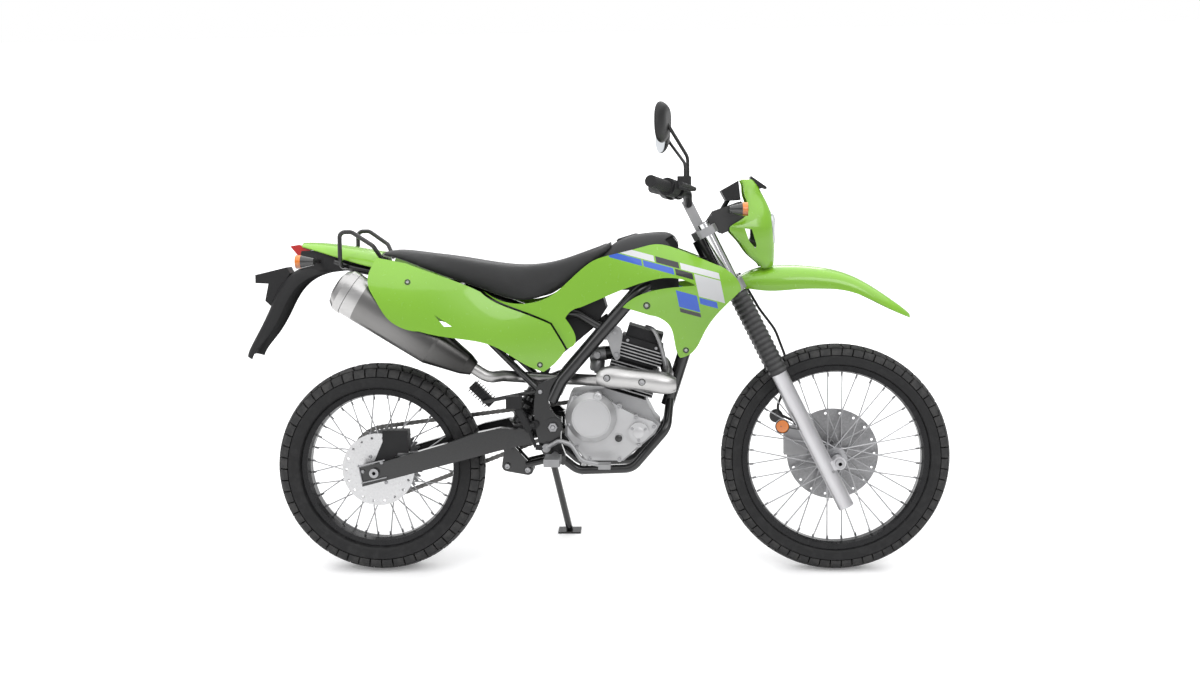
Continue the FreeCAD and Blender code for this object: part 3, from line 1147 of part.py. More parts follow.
# rear brake: the cylinder with its reservoir on the frame plate, and the caliper over the disc
cylinder_across = -plate_face - 1.2 * d.cylinder_radius
brake_top = at(0.448, 0.5, cylinder_across)
brake_foot = at(0.484, 0.434, cylinder_across)
brake_fork = at(0.502, 0.386, cylinder_across)
reservoir = Part.makeBox(1.25 * d.brake_pot_side, d.brake_pot_side, d.brake_pot_side,
                         brake_top + V(-0.9 * d.brake_pot_side, -0.5 * d.brake_pot_side, 0))
brake_lug = rod(at(0.5, 0.45, -plate_face), at(0.5, 0.45, cylinder_across), d.cylinder_radius)
brake_web = rod(at(0.5, 0.45, cylinder_across), at(0.478, 0.445, cylinder_across), 0.7 * d.cylinder_radius)
brake_fork_end = rod(brake_fork, at(0.525, 0.384, cylinder_across), 0.7 * d.cylinder_radius)
brake_cylinder = joined([rod(brake_top, brake_foot, d.cylinder_radius), reservoir, brake_lug, brake_web,
                         rod(brake_foot, brake_fork, 0.4 * d.cylinder_radius), brake_fork_end])
brake_cylinder = largest(brake_cylinder.cut(brake_pedal).cut(frame_shape))


def caliper(middle, disc_side, wide, high, inner_wall, outer_wall, side):
    """A block astride a disc, with the disc's slot open below it."""
    slot = d.disc_wall / 2 + d.caliper_gap
    near = disc_side - side * (slot + inner_wall)
    far = disc_side + side * (slot + outer_wall)
    corner = V(middle.x - wide / 2, min(near, far), middle.z - high / 2)
    return Part.makeBox(wide, abs(far - near), high, corner)


rear_disc_side = -d.rear_disc_place
rear_caliper_middle = at(0.06, 0.396)
caliper_high = 0.62 * d.rear_disc_radius
caliper_wide = 0.7 * d.rear_disc_radius
rear_block = caliper(rear_caliper_middle, rear_disc_side, caliper_wide, caliper_high, d.caliper_wall,
                     d.beam_inner - d.rear_disc_place - d.disc_wall / 2 - d.caliper_gap - d.seat_gap, -1)


def disc_room(radius, side, place):
    """The room that a turning disc needs."""
    half = d.disc_wall / 2 + d.caliper_gap
    return Part.makeCylinder(radius + d.caliper_gap, 2 * half, place.Base + V(0, side - half, 0), ACROSS)


rear_block = rear_block.cut(disc_room(d.rear_disc_radius, rear_disc_side, REAR_AXLE))
carrier_low = -d.beam_inner + d.seat_gap
carrier = prism([(rear_caliper_middle.x - caliper_wide / 2, rear_caliper_middle.z),
                 (-d.axle_nut_radius * 1.4,
                d.rear_tyre_radius), (0, d.rear_tyre_radius - d.axle_nut_radius * 1.4),
                (rear_caliper_middle.x + caliper_wide / 2, rear_caliper_middle.z)], carrier_low,
                carrier_low + d.caliper_wall / 2)
carrier = carrier.cut(Part.makeCylinder(d.axle_radius + d.seat_gap, 4 * d.beam_inner,
                                        V(0, -2 * d.beam_inner, d.rear_tyre_radius), ACROSS))
rear_caliper = joined([rear_block, carrier])
made("rear_brake", Part.makeCompound([brake_cylinder, rear_caliper]))

# the chain: one closed loop from the rear sprocket to the small one on the engine's left side
DRIVE_SHARE = (0.63, 0.46)
drive_centre = at(*DRIVE_SHARE)


def loop_face(rear_radius, drive_radius, low, high):
    """A belt-shaped block around both sprockets."""
    rear = V(0, low, d.rear_tyre_radius)
    drive = V(drive_centre.x, low, drive_centre.z)
    gap = (drive - rear).Length
    heading = math.atan2(drive.z - rear.z, drive.x - rear.x)
    spread = math.acos((rear_radius - drive_radius) / gap)
    edges = []

    def rim_point(centre, radius, angle):
        return centre + V(radius * math.cos(angle), 0, radius * math.sin(angle))

    rear_top = rim_point(rear, rear_radius, heading + spread)
    rear_low = rim_point(rear, rear_radius, heading - spread)
    drive_top = rim_point(drive, drive_radius, heading + spread)
    drive_low = rim_point(drive, drive_radius, heading - spread)
    edges.append(Part.Arc(rear_top, rim_point(rear, rear_radius, heading + math.pi), rear_low).toShape())
    edges.append(Part.LineSegment(rear_low, drive_low).toShape())
    edges.append(Part.Arc(drive_low, rim_point(drive, drive_radius, heading), drive_top).toShape())
    edges.append(Part.LineSegment(drive_top, rear_top).toShape())
    return Part.Face(Part.Wire(edges)).extrude(V(0, high - low, 0))


half_chain = d.chain_height / 2
chain_low = d.chain_line - d.chain_width / 2
chain_high = d.chain_line + d.chain_width / 2
chain = loop_face(d.chain_pitch_radius + half_chain, d.drive_pitch_radius + half_chain, chain_low,
                  chain_high)
chain = chain.cut(loop_face(d.chain_pitch_radius - half_chain, d.drive_pitch_radius - half_chain,
                            chain_low - d.overrun, chain_high + d.overrun))
drive_tip = d.drive_pitch_radius - half_chain - d.seat_gap
drive_sprocket = Part.makeCylinder(drive_tip, d.sprocket_wall,
                                   V(drive_centre.x, d.chain_line - d.sprocket_wall / 2,
                                                                 drive_centre.z), ACROSS)
drive_shaft = rod(V(drive_centre.x, case_left + d.seat_gap, drive_centre.z),
                  V(drive_centre.x, chain_high, drive_centre.z), d.axle_nut_radius)
made("chain", Part.makeCompound([chain, joined([drive_sprocket, drive_shaft])]))

# the fork: clamps on their stem, tubes, sliders and boots
clamps = new_body("triple_clamps")


def clamp_corners():
    legs = d.fork_spread
    front = d.clamp_offset + leg_wall
    right = [(-d.clamp_neck, -d.clamp_neck), (d.clamp_offset - leg_wall, -(legs - leg_wall)),
             (d.clamp_offset - leg_wall, -(legs + leg_wall * 0.75)),
             (d.clamp_offset - leg_wall * 0.7, -(legs + leg_wall)),
             (d.clamp_offset + leg_wall * 0.7, -(legs + leg_wall)), (front, -(legs + leg_wall * 0.6)),
             (front, -(legs - leg_wall * 0.7)),
             (d.clamp_neck + d.clamp_offset, -(d.riser_spread - d.clamp_wall))]
    return right + [(x, -y) for x, y in reversed(right)]


clamp_sketch = outline(clamps, "lower_clamp", clamp_corners(), "XY_Plane", d.lower_clamp_base)
pad(clamps, clamp_sketch, d.lower_clamp_height)
pad(clamps, rings(clamps, "stem", [(0, 0, d.stem_radius)], "XY_Plane", d.lower_clamp_base),
    d.fork_length - d.lower_clamp_base)
pad(clamps, outline(clamps, "upper_clamp", clamp_corners(), "XY_Plane", upper_clamp_low),
    d.upper_clamp_height)
bar_forward = 0.45 * d.riser_side
bar_lift = d.fork_length + 3 * d.riser_side
for side, word in ((-1, "right"), (1, "left")):
    middle = side * d.riser_spread
    riser = outline(clamps, word + "_riser", [
        (bar_forward - d.riser_side / 2, middle - d.riser_side / 2),
        (bar_forward + d.riser_side / 2, middle - d.riser_side / 2),
        (bar_forward + d.riser_side / 2, middle + d.riser_side / 2),
        (bar_forward - d.riser_side / 2, middle + d.riser_side / 2)], "XY_Plane", d.fork_length)
    pad(clamps, riser, bar_lift + d.riser_side / 2 - d.fork_length)
bores = rings(clamps, "leg_bores", [(d.clamp_offset, side * d.fork_spread, d.tube_radius + d.seat_gap)
                                    for side in (-1, 1)], "XY_Plane", d.fork_length + d.overrun)
pocket(clamps, bores, d.fork_length - d.lower_clamp_base + 2 * d.overrun)
bar_bore = rings(clamps, "bar_bore", [(bar_forward, bar_lift, d.bar_radius + d.seat_gap)], "XZ_Plane")
pocket(clamps, bar_bore, 2 * (d.riser_spread + d.riser_side), True)
keep(clamps, STEERING)
doc.recompute()


def leg_place(side):
    return V(d.clamp_offset, side * d.fork_spread, 0)


def along_leg(low, high, radius):
    return Part.makeCylinder(radius, high - low, leg_place(-1) + V(0, 0, low), UP)


bore_low = d.slider_top - d.slider_bore_depth
fork_tube = along_leg(bore_low + d.seat_gap, d.fork_length + d.tube_stand_proud, d.tube_radius)
lug = Part.makeCylinder(d.lug_radius, 2 * d.lug_half, V(axle_offset, -d.fork_spread - d.lug_half, 0), ACROSS)
lug_bridge = Part.makeBox(d.axle_lead, 1.6 * d.lug_half, 1.6 * d.lug_radius,
                          leg_place(-1) + V(0, -0.8 * d.lug_half, -0.8 * d.lug_radius))
slider = joined([along_leg(-d.slider_reach, d.slider_top, d.slider_radius), lug, lug_bridge])
slider = slider.cut(along_leg(bore_low, d.slider_top + d.overrun, d.tube_radius + d.tube_slide_gap))
slider = slider.cut(Part.makeCylinder(d.axle_radius + d.seat_gap, 4 * d.fork_spread,
                                      V(axle_offset, -2 * d.fork_spread, 0), ACROSS))


def on_fork(label, shape):
    item = made(label, both_sides(shape))
    item.Placement = STEERING
    return item


on_fork("fork_tubes", fork_tube)
on_fork("fork_sliders", slider)
boot = new_body("boot_right")
folds = 16
boot_low = d.slider_top + d.seat_gap
fold = (d.boot_top - boot_low) / folds
bellows = [(d.tube_radius + d.tube_slide_gap, boot_low), (d.boot_waist, boot_low)]
for number in range(folds):
    bellows += [(d.boot_radius, boot_low + fold * (number + 0.5)),
                (d.boot_waist, boot_low + fold * (number + 1))]
bellows += [(d.tube_radius + d.tube_slide_gap, d.boot_top)]
turn(boot, outline(boot, "boot_section", bellows))
doc.recompute()
boot_shape = boot.Shape.copy()
boot_shape.Placement = FreeCAD.Placement(leg_place(-1), NO_TURN)
on_fork("fork_boots", boot_shape)

# the handlebar and what is clamped to it
bar_middle = on_steering(bar_forward, 0, bar_lift)
BAR_SHARES = ((0.0, 0.17, 0.0), (-0.005, 0.36, 0.07), (-0.263, 1.0, 0.144))


def bar_point(side, along_share, across_share, up_share):
    return bar_middle + V(d.bar_half * along_share, side * d.bar_half * across_share, d.bar_half * up_share)


bar_points = [bar_point(-1, *row) for row in reversed(BAR_SHARES)] + [bar_point(1,
                                                                                *row) for row in BAR_SHARES]
handlebar = tube(bar_points, d.bar_radius, 5 * d.bar_radius)
made("handlebar", handlebar)
bar_end = bar_point(-1, *BAR_SHARES[2])
bar_bend = bar_point(-1, *BAR_SHARES[1])
bar_way = (bar_end - bar_bend).normalize()


def on_bar(inset, length, radius):
    """A sleeve on the right end of the bar, bored to fit it."""
    start = bar_end - bar_way * inset
    sleeve = rod(start, start - bar_way * length, radius)
    room = rod(start + bar_way * d.overrun, start - bar_way * (length + d.overrun),
               d.bar_radius + d.seat_gap)
    return sleeve, room


grip, grip_room = on_bar(0, d.grip_length, d.grip_radius)
housing, housing_room = on_bar(d.grip_length + d.seat_gap, d.housing_length, d.housing_radius)
lever_start = bar_end - bar_way * (d.grip_length + 0.5 * d.housing_length)
lever_out = lever_start + V(3 * d.housing_radius, 0, -0.3 * d.housing_radius)
lever = tube([lever_start + V(d.housing_radius * 0.8, 0, 0), lever_out,
              bar_end + V(3.2 * d.housing_radius, 0, -0.3 * d.housing_radius)], d.lever_radius,
             3 * d.lever_radius)
brake_pot = Part.makeBox(d.brake_pot_side, 1.1 * d.brake_pot_side, 0.8 * d.brake_pot_side,
                         bar_end - bar_way * (d.grip_length + d.housing_length)
                         + V(0.5 * d.housing_radius, -0.55 * d.brake_pot_side, 0.2 * d.housing_radius))
pot_room = on_bar(d.grip_length + d.seat_gap, 1.7 * d.housing_length, d.housing_radius)[1]
throttle = joined([housing, lever, brake_pot]).cut(pot_room)
switches = mirrored(joined([housing, lever]).cut(housing_room))
grip = grip.cut(grip_room)
made("hand_controls", Part.makeCompound([grip, mirrored(grip), throttle, switches]))

mirror_foot = bar_end - bar_way * (d.grip_length + 1.6 * d.housing_length + 2 * d.bar_radius)
mirror_middle = ahead(-0.121, 0.382, -d.mirror_place)
mirror_out = V(-0.3, -1, 0).normalize()
mirror_back = V(1, -0.3, 0).normalize()
collar = rod(mirror_foot + bar_way * d.bar_radius, mirror_foot - bar_way * d.bar_radius, 1.7 * d.bar_radius)
collar_room = rod(mirror_foot + bar_way * 4 * d.bar_radius, mirror_foot - bar_way * 4 * d.bar_radius,
                  d.bar_radius + d.seat_gap)
stem_foot = mirror_foot + V(2.2 * d.bar_radius, 0, d.bar_radius)
stem = tube([stem_foot, stem_foot + V(0, 0, 7.5 * d.bar_radius),
             mirror_middle + mirror_back * 0.75 * d.mirror_depth - UP * 0.2 * d.mirror_high,
             mirror_middle + mirror_back * 0.2 * d.mirror_depth], d.mirror_stem_radius,
            5 * d.mirror_stem_radius)
mirror_lug = rod(mirror_foot, stem_foot, d.bar_radius)
mirror_nut = rod(stem_foot - UP * d.bar_radius, stem_foot + UP * 2.6 * d.bar_radius,
                 2 * d.mirror_stem_radius)
mirror_sections = []
for shift_share, size, lift in ((-0.5, 0.93, 0), (-0.35, 1.0, 0), (0.1, 0.86, 0.02), (0.42, 0.6, 0.05),
                                (0.5, 0.4, 0.06)):
    middle = mirror_middle + mirror_back * (d.mirror_depth * shift_share) + UP * (d.mirror_high * lift)
    mirror_sections.append(oval(middle, mirror_out, UP, d.mirror_half * size, d.mirror_high / 2 * size, 2.5))
mirror = joined([loft(mirror_sections), stem, collar, mirror_lug, mirror_nut]).cut(collar_room)
made("mirrors", both_sides(mirror))

# the headlamp cowl, its lamp and bracket
COWL_SHARES = ((0.19, 0.16, 0.214, 0.5), (0.128, 0.175, 0.246, 0.64), (0.083, 0.188, 0.267, 0.76),
               (0.044, 0.162, 0.279, 0.9), (0.012, 0.116, 0.285, 0.99), (-0.033, 0.148, 0.287, 0.95),
               (-0.075, 0.178, 0.286, 0.87), (-0.112, 0.215, 0.284, 0.77), (-0.137, 0.234, 0.277, 0.66))
COWL_SLOT_SHARES = ((0.172, 0.01), (0.198, 0.006), (0.216, -0.052), (0.212, -0.064), (0.188, -0.036))


def cowl_line(up, back, front, wide, wall):
    depth = front - back
    half = d.cowl_half * wide - wall
    nose = ahead(front, up) - V(wall, 0, 0)
    side = ahead(back + 0.55 * depth, up, -0.96 * half)
    cheek = ahead(back + 0.93 * depth, up, -0.7 * half) - V(wall, 0, 0)
    edge = ahead(back, up, -half)
    return [edge, side, cheek, nose] + [V(one.x, -one.y, one.z) for one in (cheek, side, edge)]


def cowl_section(up, back, front, wide):
    outer = cowl_line(up, back, front, wide, 0)
    inner = cowl_line(up, back, front, wide, d.panel_wall)
    inner.reverse()
    return Part.Wire([smooth(outer), Part.LineSegment(outer[-1], inner[0]).toShape(), smooth(inner),
                      Part.LineSegment(inner[-1], outer[0]).toShape()])


cowl = loft([cowl_section(*row) for row in COWL_SHARES])
lamp_middle = ahead(0.27, 0.0)


def lamp_form(start_share, end_share, grow):
    sections = []
    for share, size in ((start_share, 1.0), (end_share, 1.0)):
        sections.append(oval(lamp_middle + V(d.lamp_depth * share, 0, 0), ACROSS, UP,
                             d.lamp_glass_half * size + grow, d.lamp_glass_high / 2 * size + grow, 2.8))
    return loft(sections)


cowl_slot = prism(ahead_flat(COWL_SLOT_SHARES), -2 * d.cowl_half, -0.5 * d.cowl_half)
cowl_shape = cowl.cut(lamp_form(-0.9, 1.0, d.panel_gap)).cut(cowl_slot).cut(mirrored(cowl_slot))
made("headlight_cowl", largest(cowl_shape))
LIP_SHARES = ((0.2, 0.203), (0.258, 0.162), (0.257, 0.154), (0.246, 0.16), (0.236, 0.156), (0.2, 0.19))
made("cowl_lip", largest(prism(ahead_flat(LIP_SHARES), -0.42 * d.cowl_half,
                               0.42 * d.cowl_half).cut(cowl_shape)))
lamp_sections = [oval(lamp_middle + V(d.lamp_depth * share, 0, 0), ACROSS, UP, d.lamp_glass_half * size,
                      d.lamp_glass_high / 2 * size, 2.8) for share,
                 size in ((-0.85, 0.8), (-0.3, 1.0), (0.1, 1.0),
                                                                             (0.2, 0.82))]
lamp = loft(lamp_sections, True)
STAY_SHARES = ((0.03, 0.03), (0.06, 0.075), (0.16, 0.11), (0.185, 0.09), (0.185, 0.03), (0.09, -0.01))
stay = prism(ahead_flat(STAY_SHARES), -0.62 * d.cowl_half - d.panel_wall, -0.62 * d.cowl_half)
stay_bar = rod(ahead(0.16, 0.05, -0.62 * d.cowl_half), ahead(0.16, 0.05, 0.62 * d.cowl_half), d.stalk_radius)
lamp_neck = rod(ahead(0.16, 0.05), lamp_middle + V(-0.7 * d.lamp_depth, 0, 0.2 * d.lamp_glass_high),
                d.stalk_radius)
headlight = joined([lamp, stay, mirrored(stay), stay_bar, lamp_neck]).cut(clamps.Shape)
headlight = headlight.cut(pieces["fork_tubes"].Shape).cut(pieces["headlight_cowl"].Shape)
made("headlight", largest(headlight))

METER_SHARES = ((0.087, 0.15), (0.152, 0.186), (0.16, 0.115), (0.107, 0.113))
meter = prism(ahead_flat(METER_SHARES), -d.meter_half, d.meter_half)
meter_stay = rod(on_steering(d.clamp_offset + d.stem_radius, 0, d.fork_length - d.stem_radius),
                 ahead(0.13, 0.14),
                 d.stalk_radius)
made("instrument", largest(joined([meter, meter_stay]).cut(clamps.Shape).cut(pieces["headlight"].Shape)))

front_lens = ahead(0.18, 0.08, -d.front_indicator_spread)
stalk_start = front_lens - V(0.8 * d.indicator_depth, 0, 0)
stalk_end = V(stalk_start.x, -0.62 * d.cowl_half - d.panel_wall - d.seat_gap, stalk_start.z)
front_stalk = rod(stalk_start, stalk_end, d.stalk_radius)
front_indicator = joined(turn_signal(front_lens, -1) + [front_stalk]).cut(pieces["headlight_cowl"].Shape)
made("front_indicators", both_sides(largest(front_indicator)))

# the high front mudguard, bolted below the lower clamp
FENDER_SHARES = ((0.14, -0.186, 0.025, 0.8), (0.185, -0.152, 0.058, 0.9), (0.25, -0.134, 0.084, 1.02),
                 (0.345, -0.129, 0.086, 1.12), (0.45, -0.137, 0.075, 1.15), (0.555, -0.162, 0.06, 1.15),
                 (0.66, -0.218, 0.046, 1.08), (0.74, -0.274, 0.03, 0.9), (0.79, -0.314, 0.012, 0.5))
fender_sections = [skin_section(arched_line(ahead(along, up), d.fender_half * wide, d.fork_length * drop,
                                            0.8, 0.2),
                                cover_down) for along, up, drop, wide in FENDER_SHARES]
fender = loft(fender_sections).cut(clamps.Shape).cut(pieces["fork_boots"].Shape)
fender = fender.cut(pieces["headlight_cowl"].Shape)
made("front_fender", largest(fender))

# the front caliper on the left slider, and its hose
front_disc_side = d.front_disc_place
caliper_middle = V(d.wheelbase - 0.82 * d.front_disc_radius, 0,
                   front_axle_height + 0.3 * d.front_disc_radius)
front_block = caliper(caliper_middle, front_disc_side, 0.5 * d.front_disc_radius, 0.62 * d.front_disc_radius,
                      0.4 * d.caliper_wall, d.fork_spread - d.slider_radius - d.front_disc_place
                      - d.disc_wall / 2 - d.caliper_gap, 1)
caliper_arm = Part.makeBox(0.6 * d.front_disc_radius, d.caliper_wall, 0.4 * d.front_disc_radius,
                           caliper_middle + V(-0.1 * d.front_disc_radius,
                                              d.front_disc_place + d.disc_wall / 2
                                              + d.caliper_gap, -0.2 * d.front_disc_radius))
front_shape = joined([front_block, caliper_arm]).cut(disc_room(d.front_disc_radius, front_disc_side,
                                                               FRONT_AXLE))
slider_room = along_leg(-d.slider_reach, d.slider_top, d.slider_radius + d.seat_gap)
slider_room.Placement = STEERING
front_shape = front_shape.cut(mirrored(slider_room)).cut(pieces["fork_sliders"].Shape)
made("front_caliper", largest(front_shape))
HOSE_SHARES = ((0.24, -0.3, 0.72), (0.3, -0.38, 0.7), (0.345, -0.5, 0.67), (0.33, -0.62, 0.66),
               (0.3, -0.7, 0.66))
hose_top = on_steering(d.clamp_offset + leg_wall + d.hose_radius + d.seat_gap, 0.75 * d.fork_spread,
                       lower_clamp_top)
hose_end = V(caliper_middle.x, d.front_disc_place + d.caliper_wall, caliper_middle.z
             + 0.31 * d.front_disc_radius + d.seat_gap)
hose_points = [hose_top, hose_top - STEERING.Rotation.multVec(UP) * d.lower_clamp_height]
hose_points += [ahead(along, up, d.fork_spread * across) for along, up, across in HOSE_SHARES]
hose_points += [hose_end + V(0, 0, 3 * d.hose_radius), hose_end]
hose = tube(hose_points, d.hose_radius, 30 * d.hose_radius)
made("front_brake_hose", hose)

# the whole machine leans on its stand, with its origin at the middle of the space that it fills
for item in pieces.values():
    item.Placement = lean.multiply(item.Placement)
doc.recompute()
boxes = [item.Shape.optimalBoundingBox(False) for item in pieces.values()]
low_x = min(box.XMin for box in boxes)
high_x = max(box.XMax for box in boxes)
low_y = min(box.YMin for box in boxes)
high_y = max(box.YMax for box in boxes)
low_z = min(box.ZMin for box in boxes)
high_z = max(box.ZMax for box in boxes)
shift = FreeCAD.Placement(V(-(low_x + high_x) / 2, -(low_y + high_y) / 2, -low_z), NO_TURN)
for item in pieces.values():
    item.Placement = shift.multiply(item.Placement)
doc.recompute()

for item in doc.Objects:
    if "Invalid" in item.State or "Error" in item.State:
        raise RuntimeError("%s did not recompute: %s" % (item.Name, item.State))
os.makedirs("parts", exist_ok=True)
for label, item in pieces.items():
    shape = item.Shape
    if shape.isNull() or not shape.isValid() or not shape.Solids:
        raise RuntimeError("%s has no valid solid" % label)
    shape.exportStep("parts/%s.step" % label)
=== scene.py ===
import json
import math

import bmesh
import bpy
from mathutils import Matrix, Vector
from mathutils.bvhtree import BVHTree


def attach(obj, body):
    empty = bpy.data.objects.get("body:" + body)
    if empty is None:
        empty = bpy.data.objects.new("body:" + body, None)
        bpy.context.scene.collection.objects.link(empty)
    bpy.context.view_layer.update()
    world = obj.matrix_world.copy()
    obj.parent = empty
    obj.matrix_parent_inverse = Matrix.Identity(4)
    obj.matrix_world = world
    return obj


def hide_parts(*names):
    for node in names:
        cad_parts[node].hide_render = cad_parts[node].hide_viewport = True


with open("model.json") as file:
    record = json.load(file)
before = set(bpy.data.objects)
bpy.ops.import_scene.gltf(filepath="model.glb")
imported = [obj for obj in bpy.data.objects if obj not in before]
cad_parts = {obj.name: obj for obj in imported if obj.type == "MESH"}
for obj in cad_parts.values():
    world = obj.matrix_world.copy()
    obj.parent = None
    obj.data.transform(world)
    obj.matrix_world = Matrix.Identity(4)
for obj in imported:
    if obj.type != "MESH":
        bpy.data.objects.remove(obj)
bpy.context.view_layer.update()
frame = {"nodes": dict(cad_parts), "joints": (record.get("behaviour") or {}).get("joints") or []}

# The place and the camera. The motorcycle stands on a pale studio floor, leaning on its side stand, and is
# looked at from its right by a camera at a standing person's eye height. Sizes in this file are in metres on
# the upright machine, X ahead, Y left and Z up from the ground under the rear axle, and PARKED leans them.
joints = {joint["name"]: joint for joint in frame["joints"]}
REAR_RADIUS = 0.318
FRONT_RADIUS = 0.343
WHEELBASE = 1.38
FORK_RAKE = math.radians(26.5)
AHEAD = Vector((1, 0, 0))
across = Vector(joints["rear_wheel_spin"]["axis"]).normalized()
rise = AHEAD.cross(across)
PARKED = Matrix((AHEAD, across, rise)).transposed().to_4x4()
PARKED.translation = Vector(joints["rear_wheel_spin"]["pos_m"]) - rise * REAR_RADIUS
REAR_WHEEL = PARKED @ Matrix.Translation((0, 0, REAR_RADIUS))
FRONT_WHEEL = PARKED @ Matrix.Translation((WHEELBASE, 0, FRONT_RADIUS))
FORK = Matrix.Translation(joints["steering"]["pos_m"]) @ PARKED.to_3x3().to_4x4() @ Matrix.Rotation(
    -FORK_RAKE, 4, "Y")

camera_data = bpy.data.cameras.new("studio_camera")
camera_data.sensor_width = 36
camera_data.lens = 39.19
camera = bpy.data.objects.new("studio_camera", camera_data)
bpy.context.scene.collection.objects.link(camera)
camera_turn = Matrix(((0.998806, 0.007191, 0.048311), (0.047465, 0.090370, -0.994776),
                      (-0.011519, 0.995882, 0.089921))).to_4x4()
camera.matrix_world = PARKED @ Matrix.Translation((0.864919, -3.932172, 1.064396)) @ camera_turn
bpy.context.scene.camera = camera


class Wire:
    """The output of a node; sums, products and comparisons on it add the nodes that work them out."""

    def __init__(self, tree, socket):
        self.tree = tree
        self.socket = socket

    def worked(self, operation, *others):
        return self.between(operation, [self.socket] + [getattr(other, "socket", other) for other in others])

    def between(self, operation, values):
        vector = any(getattr(value, "type", "") == "VECTOR" or isinstance(value, (tuple, Vector))
                     for value in values)
        node = self.tree.nodes.new("ShaderNodeVectorMath" if vector else "ShaderNodeMath")
        node.operation = operation
        for place, value in enumerate(values):
            if hasattr(value, "is_output"):
                self.tree.links.new(value, node.inputs[place])
            elif vector and not isinstance(value, (tuple, Vector)):
                node.inputs[place].default_value = (value, value, value)
            else:
                node.inputs[place].default_value = value
        return Wire(self.tree, node.outputs["Value" if operation in ("DOT_PRODUCT", "LENGTH") else 0])

    def __add__(self, other):
        return self.worked("ADD", other)

    def __sub__(self, other):
        return self.worked("SUBTRACT", other)

    def __rsub__(self, other):
        return self.between("SUBTRACT", [other, self.socket])

    def __mul__(self, other):
        return self.worked("MULTIPLY", other)

    def __truediv__(self, other):
        return self.worked("DIVIDE", other)

    def __gt__(self, other):
        return self.worked("GREATER_THAN", other)

    def __lt__(self, other):
        return self.worked("LESS_THAN", other)

    def __abs__(self):
        return self.worked("ABSOLUTE")

    __radd__ = __add__
    __rmul__ = __mul__


class Nodes:
    """A node tree being built. add() takes a node's type, its settings and what its sockets are fed with."""

    def __init__(self, tree):
        self.tree = tree

    def add(self, kind, settings=None, out=0, **sockets):
        node = self.tree.nodes.new(kind)
        for setting, value in (settings or {}).items():
            setattr(node, setting, value)
        for socket, value in sockets.items():
            self.feed(node.inputs[socket.replace("_", " ")], value)
        return Wire(self.tree, node.outputs[out])

    def feed(self, socket, value):
        if isinstance(value, Wire):
            self.tree.links.new(value.socket, socket)
        else:
            socket.default_value = value

    def mixed(self, share, first, second):
        """The first colour where the share is 0, the second where it is 1."""
        node = self.tree.nodes.new("ShaderNodeMix")
        node.data_type = "RGBA"
        self.feed(node.inputs[0], share)
        for socket, value in ((node.inputs[6], first), (node.inputs[7], second)):
            self.feed(socket, value if isinstance(value, Wire) else (*value, 1))
        return Wire(self.tree, node.outputs[2])

    def eased(self, value, low, high):
        """0 below the low value, 1 above the high one, and a smooth step between."""
        return self.add("ShaderNodeMapRange", {"interpolation_type": "SMOOTHSTEP"}, "Result", Value=value,
                        From_Min=low, From_Max=high)


world = bpy.data.worlds.new("studio_air")
world.use_nodes = True
bpy.context.scene.world = world
bpy.context.scene.view_settings.view_transform = "Standard"
air = Nodes(world.node_tree)
height = air.add("ShaderNodeTexCoord", out="Generated").worked("DOT_PRODUCT", (0, 0, 1))
air.feed(world.node_tree.nodes["Background"].inputs["Color"],
         air.mixed(air.eased(height, -0.08, -0.04), (0.16, 0.16, 0.165),
                   air.mixed(air.eased(height, 0.03, 0.16), (1, 1, 1), (0.5, 0.5, 0.51))))


def soft_light(name, place, target, size, power):
    lamp = bpy.data.lights.new(name, "AREA")
    lamp.shape = "RECTANGLE"
    lamp.size, lamp.size_y = size
    lamp.energy = power
    item = bpy.data.objects.new(name, lamp)
    item.location = place
    item.rotation_mode = "QUATERNION"
    item.rotation_quaternion = (Vector(target) - Vector(place)).to_track_quat("-Z", "Y")
    bpy.context.scene.collection.objects.link(item)


soft_light("ceiling", (0, 0, 9), (0, 0, 0), (22, 22), 2000)
soft_light("front_window", (1.6, -3.4, 2.9), (0.1, 0, 0.6), (2.4, 1.2), 32)
soft_light("rear_window", (-2.6, -2.2, 2.2), (-0.2, 0, 0.7), (0.9, 1.6), 14)
soft_light("left_window", (0.2, 3.6, 2.6), (0, 0, 0.6), (2.6, 1.2), 30)


class Finish(Nodes):
    """A finish of this machine: a material whose colour, roughness and relief come from its nodes."""

    def __init__(self, name, slot, **constants):
        self.material = bpy.data.materials.new(name)
        self.material.use_nodes = True
        super().__init__(self.material.node_tree)
        self.slot = slot
        self.shader = self.tree.nodes["Principled BSDF"]
        for socket, value in constants.items():
            self.shader.inputs[socket.replace("_", " ")].default_value = value
        self.place = self.add("ShaderNodeTexCoord", out="Object")

    def noise(self, scale, detail, place=None):
        """Cloudy variation from 0 to 1, around a half."""
        return self.add("ShaderNodeTexNoise", Vector=place or self.place, Scale=scale, Detail=detail)

    def colour(self, value):
        self.feed(self.shader.inputs["Base Color"], value)
        return self

    def rough(self, value):
        self.feed(self.shader.inputs["Roughness"], value)
        return self

    def mottled(self, scale, detail, dark, light, rough, spread):
        """Two shades in cloudy patches; the lighter a patch, the rougher it is, by the spread."""
        clouds = self.noise(scale, detail)
        return self.colour(self.mixed(clouds, dark, light)).rough(rough + spread * clouds)

    def measured(self, way, start=PARKED.translation):
        """How far a place of the surface lies from the start, along a direction of the parked machine."""
        return (self.place - start).worked("DOT_PRODUCT", way)

    def relief(self, height, depth, strength=1.0):
        self.feed(self.shader.inputs["Normal"],
                  self.add("ShaderNodeBump", Height=height, Distance=depth, Strength=strength))
        return self


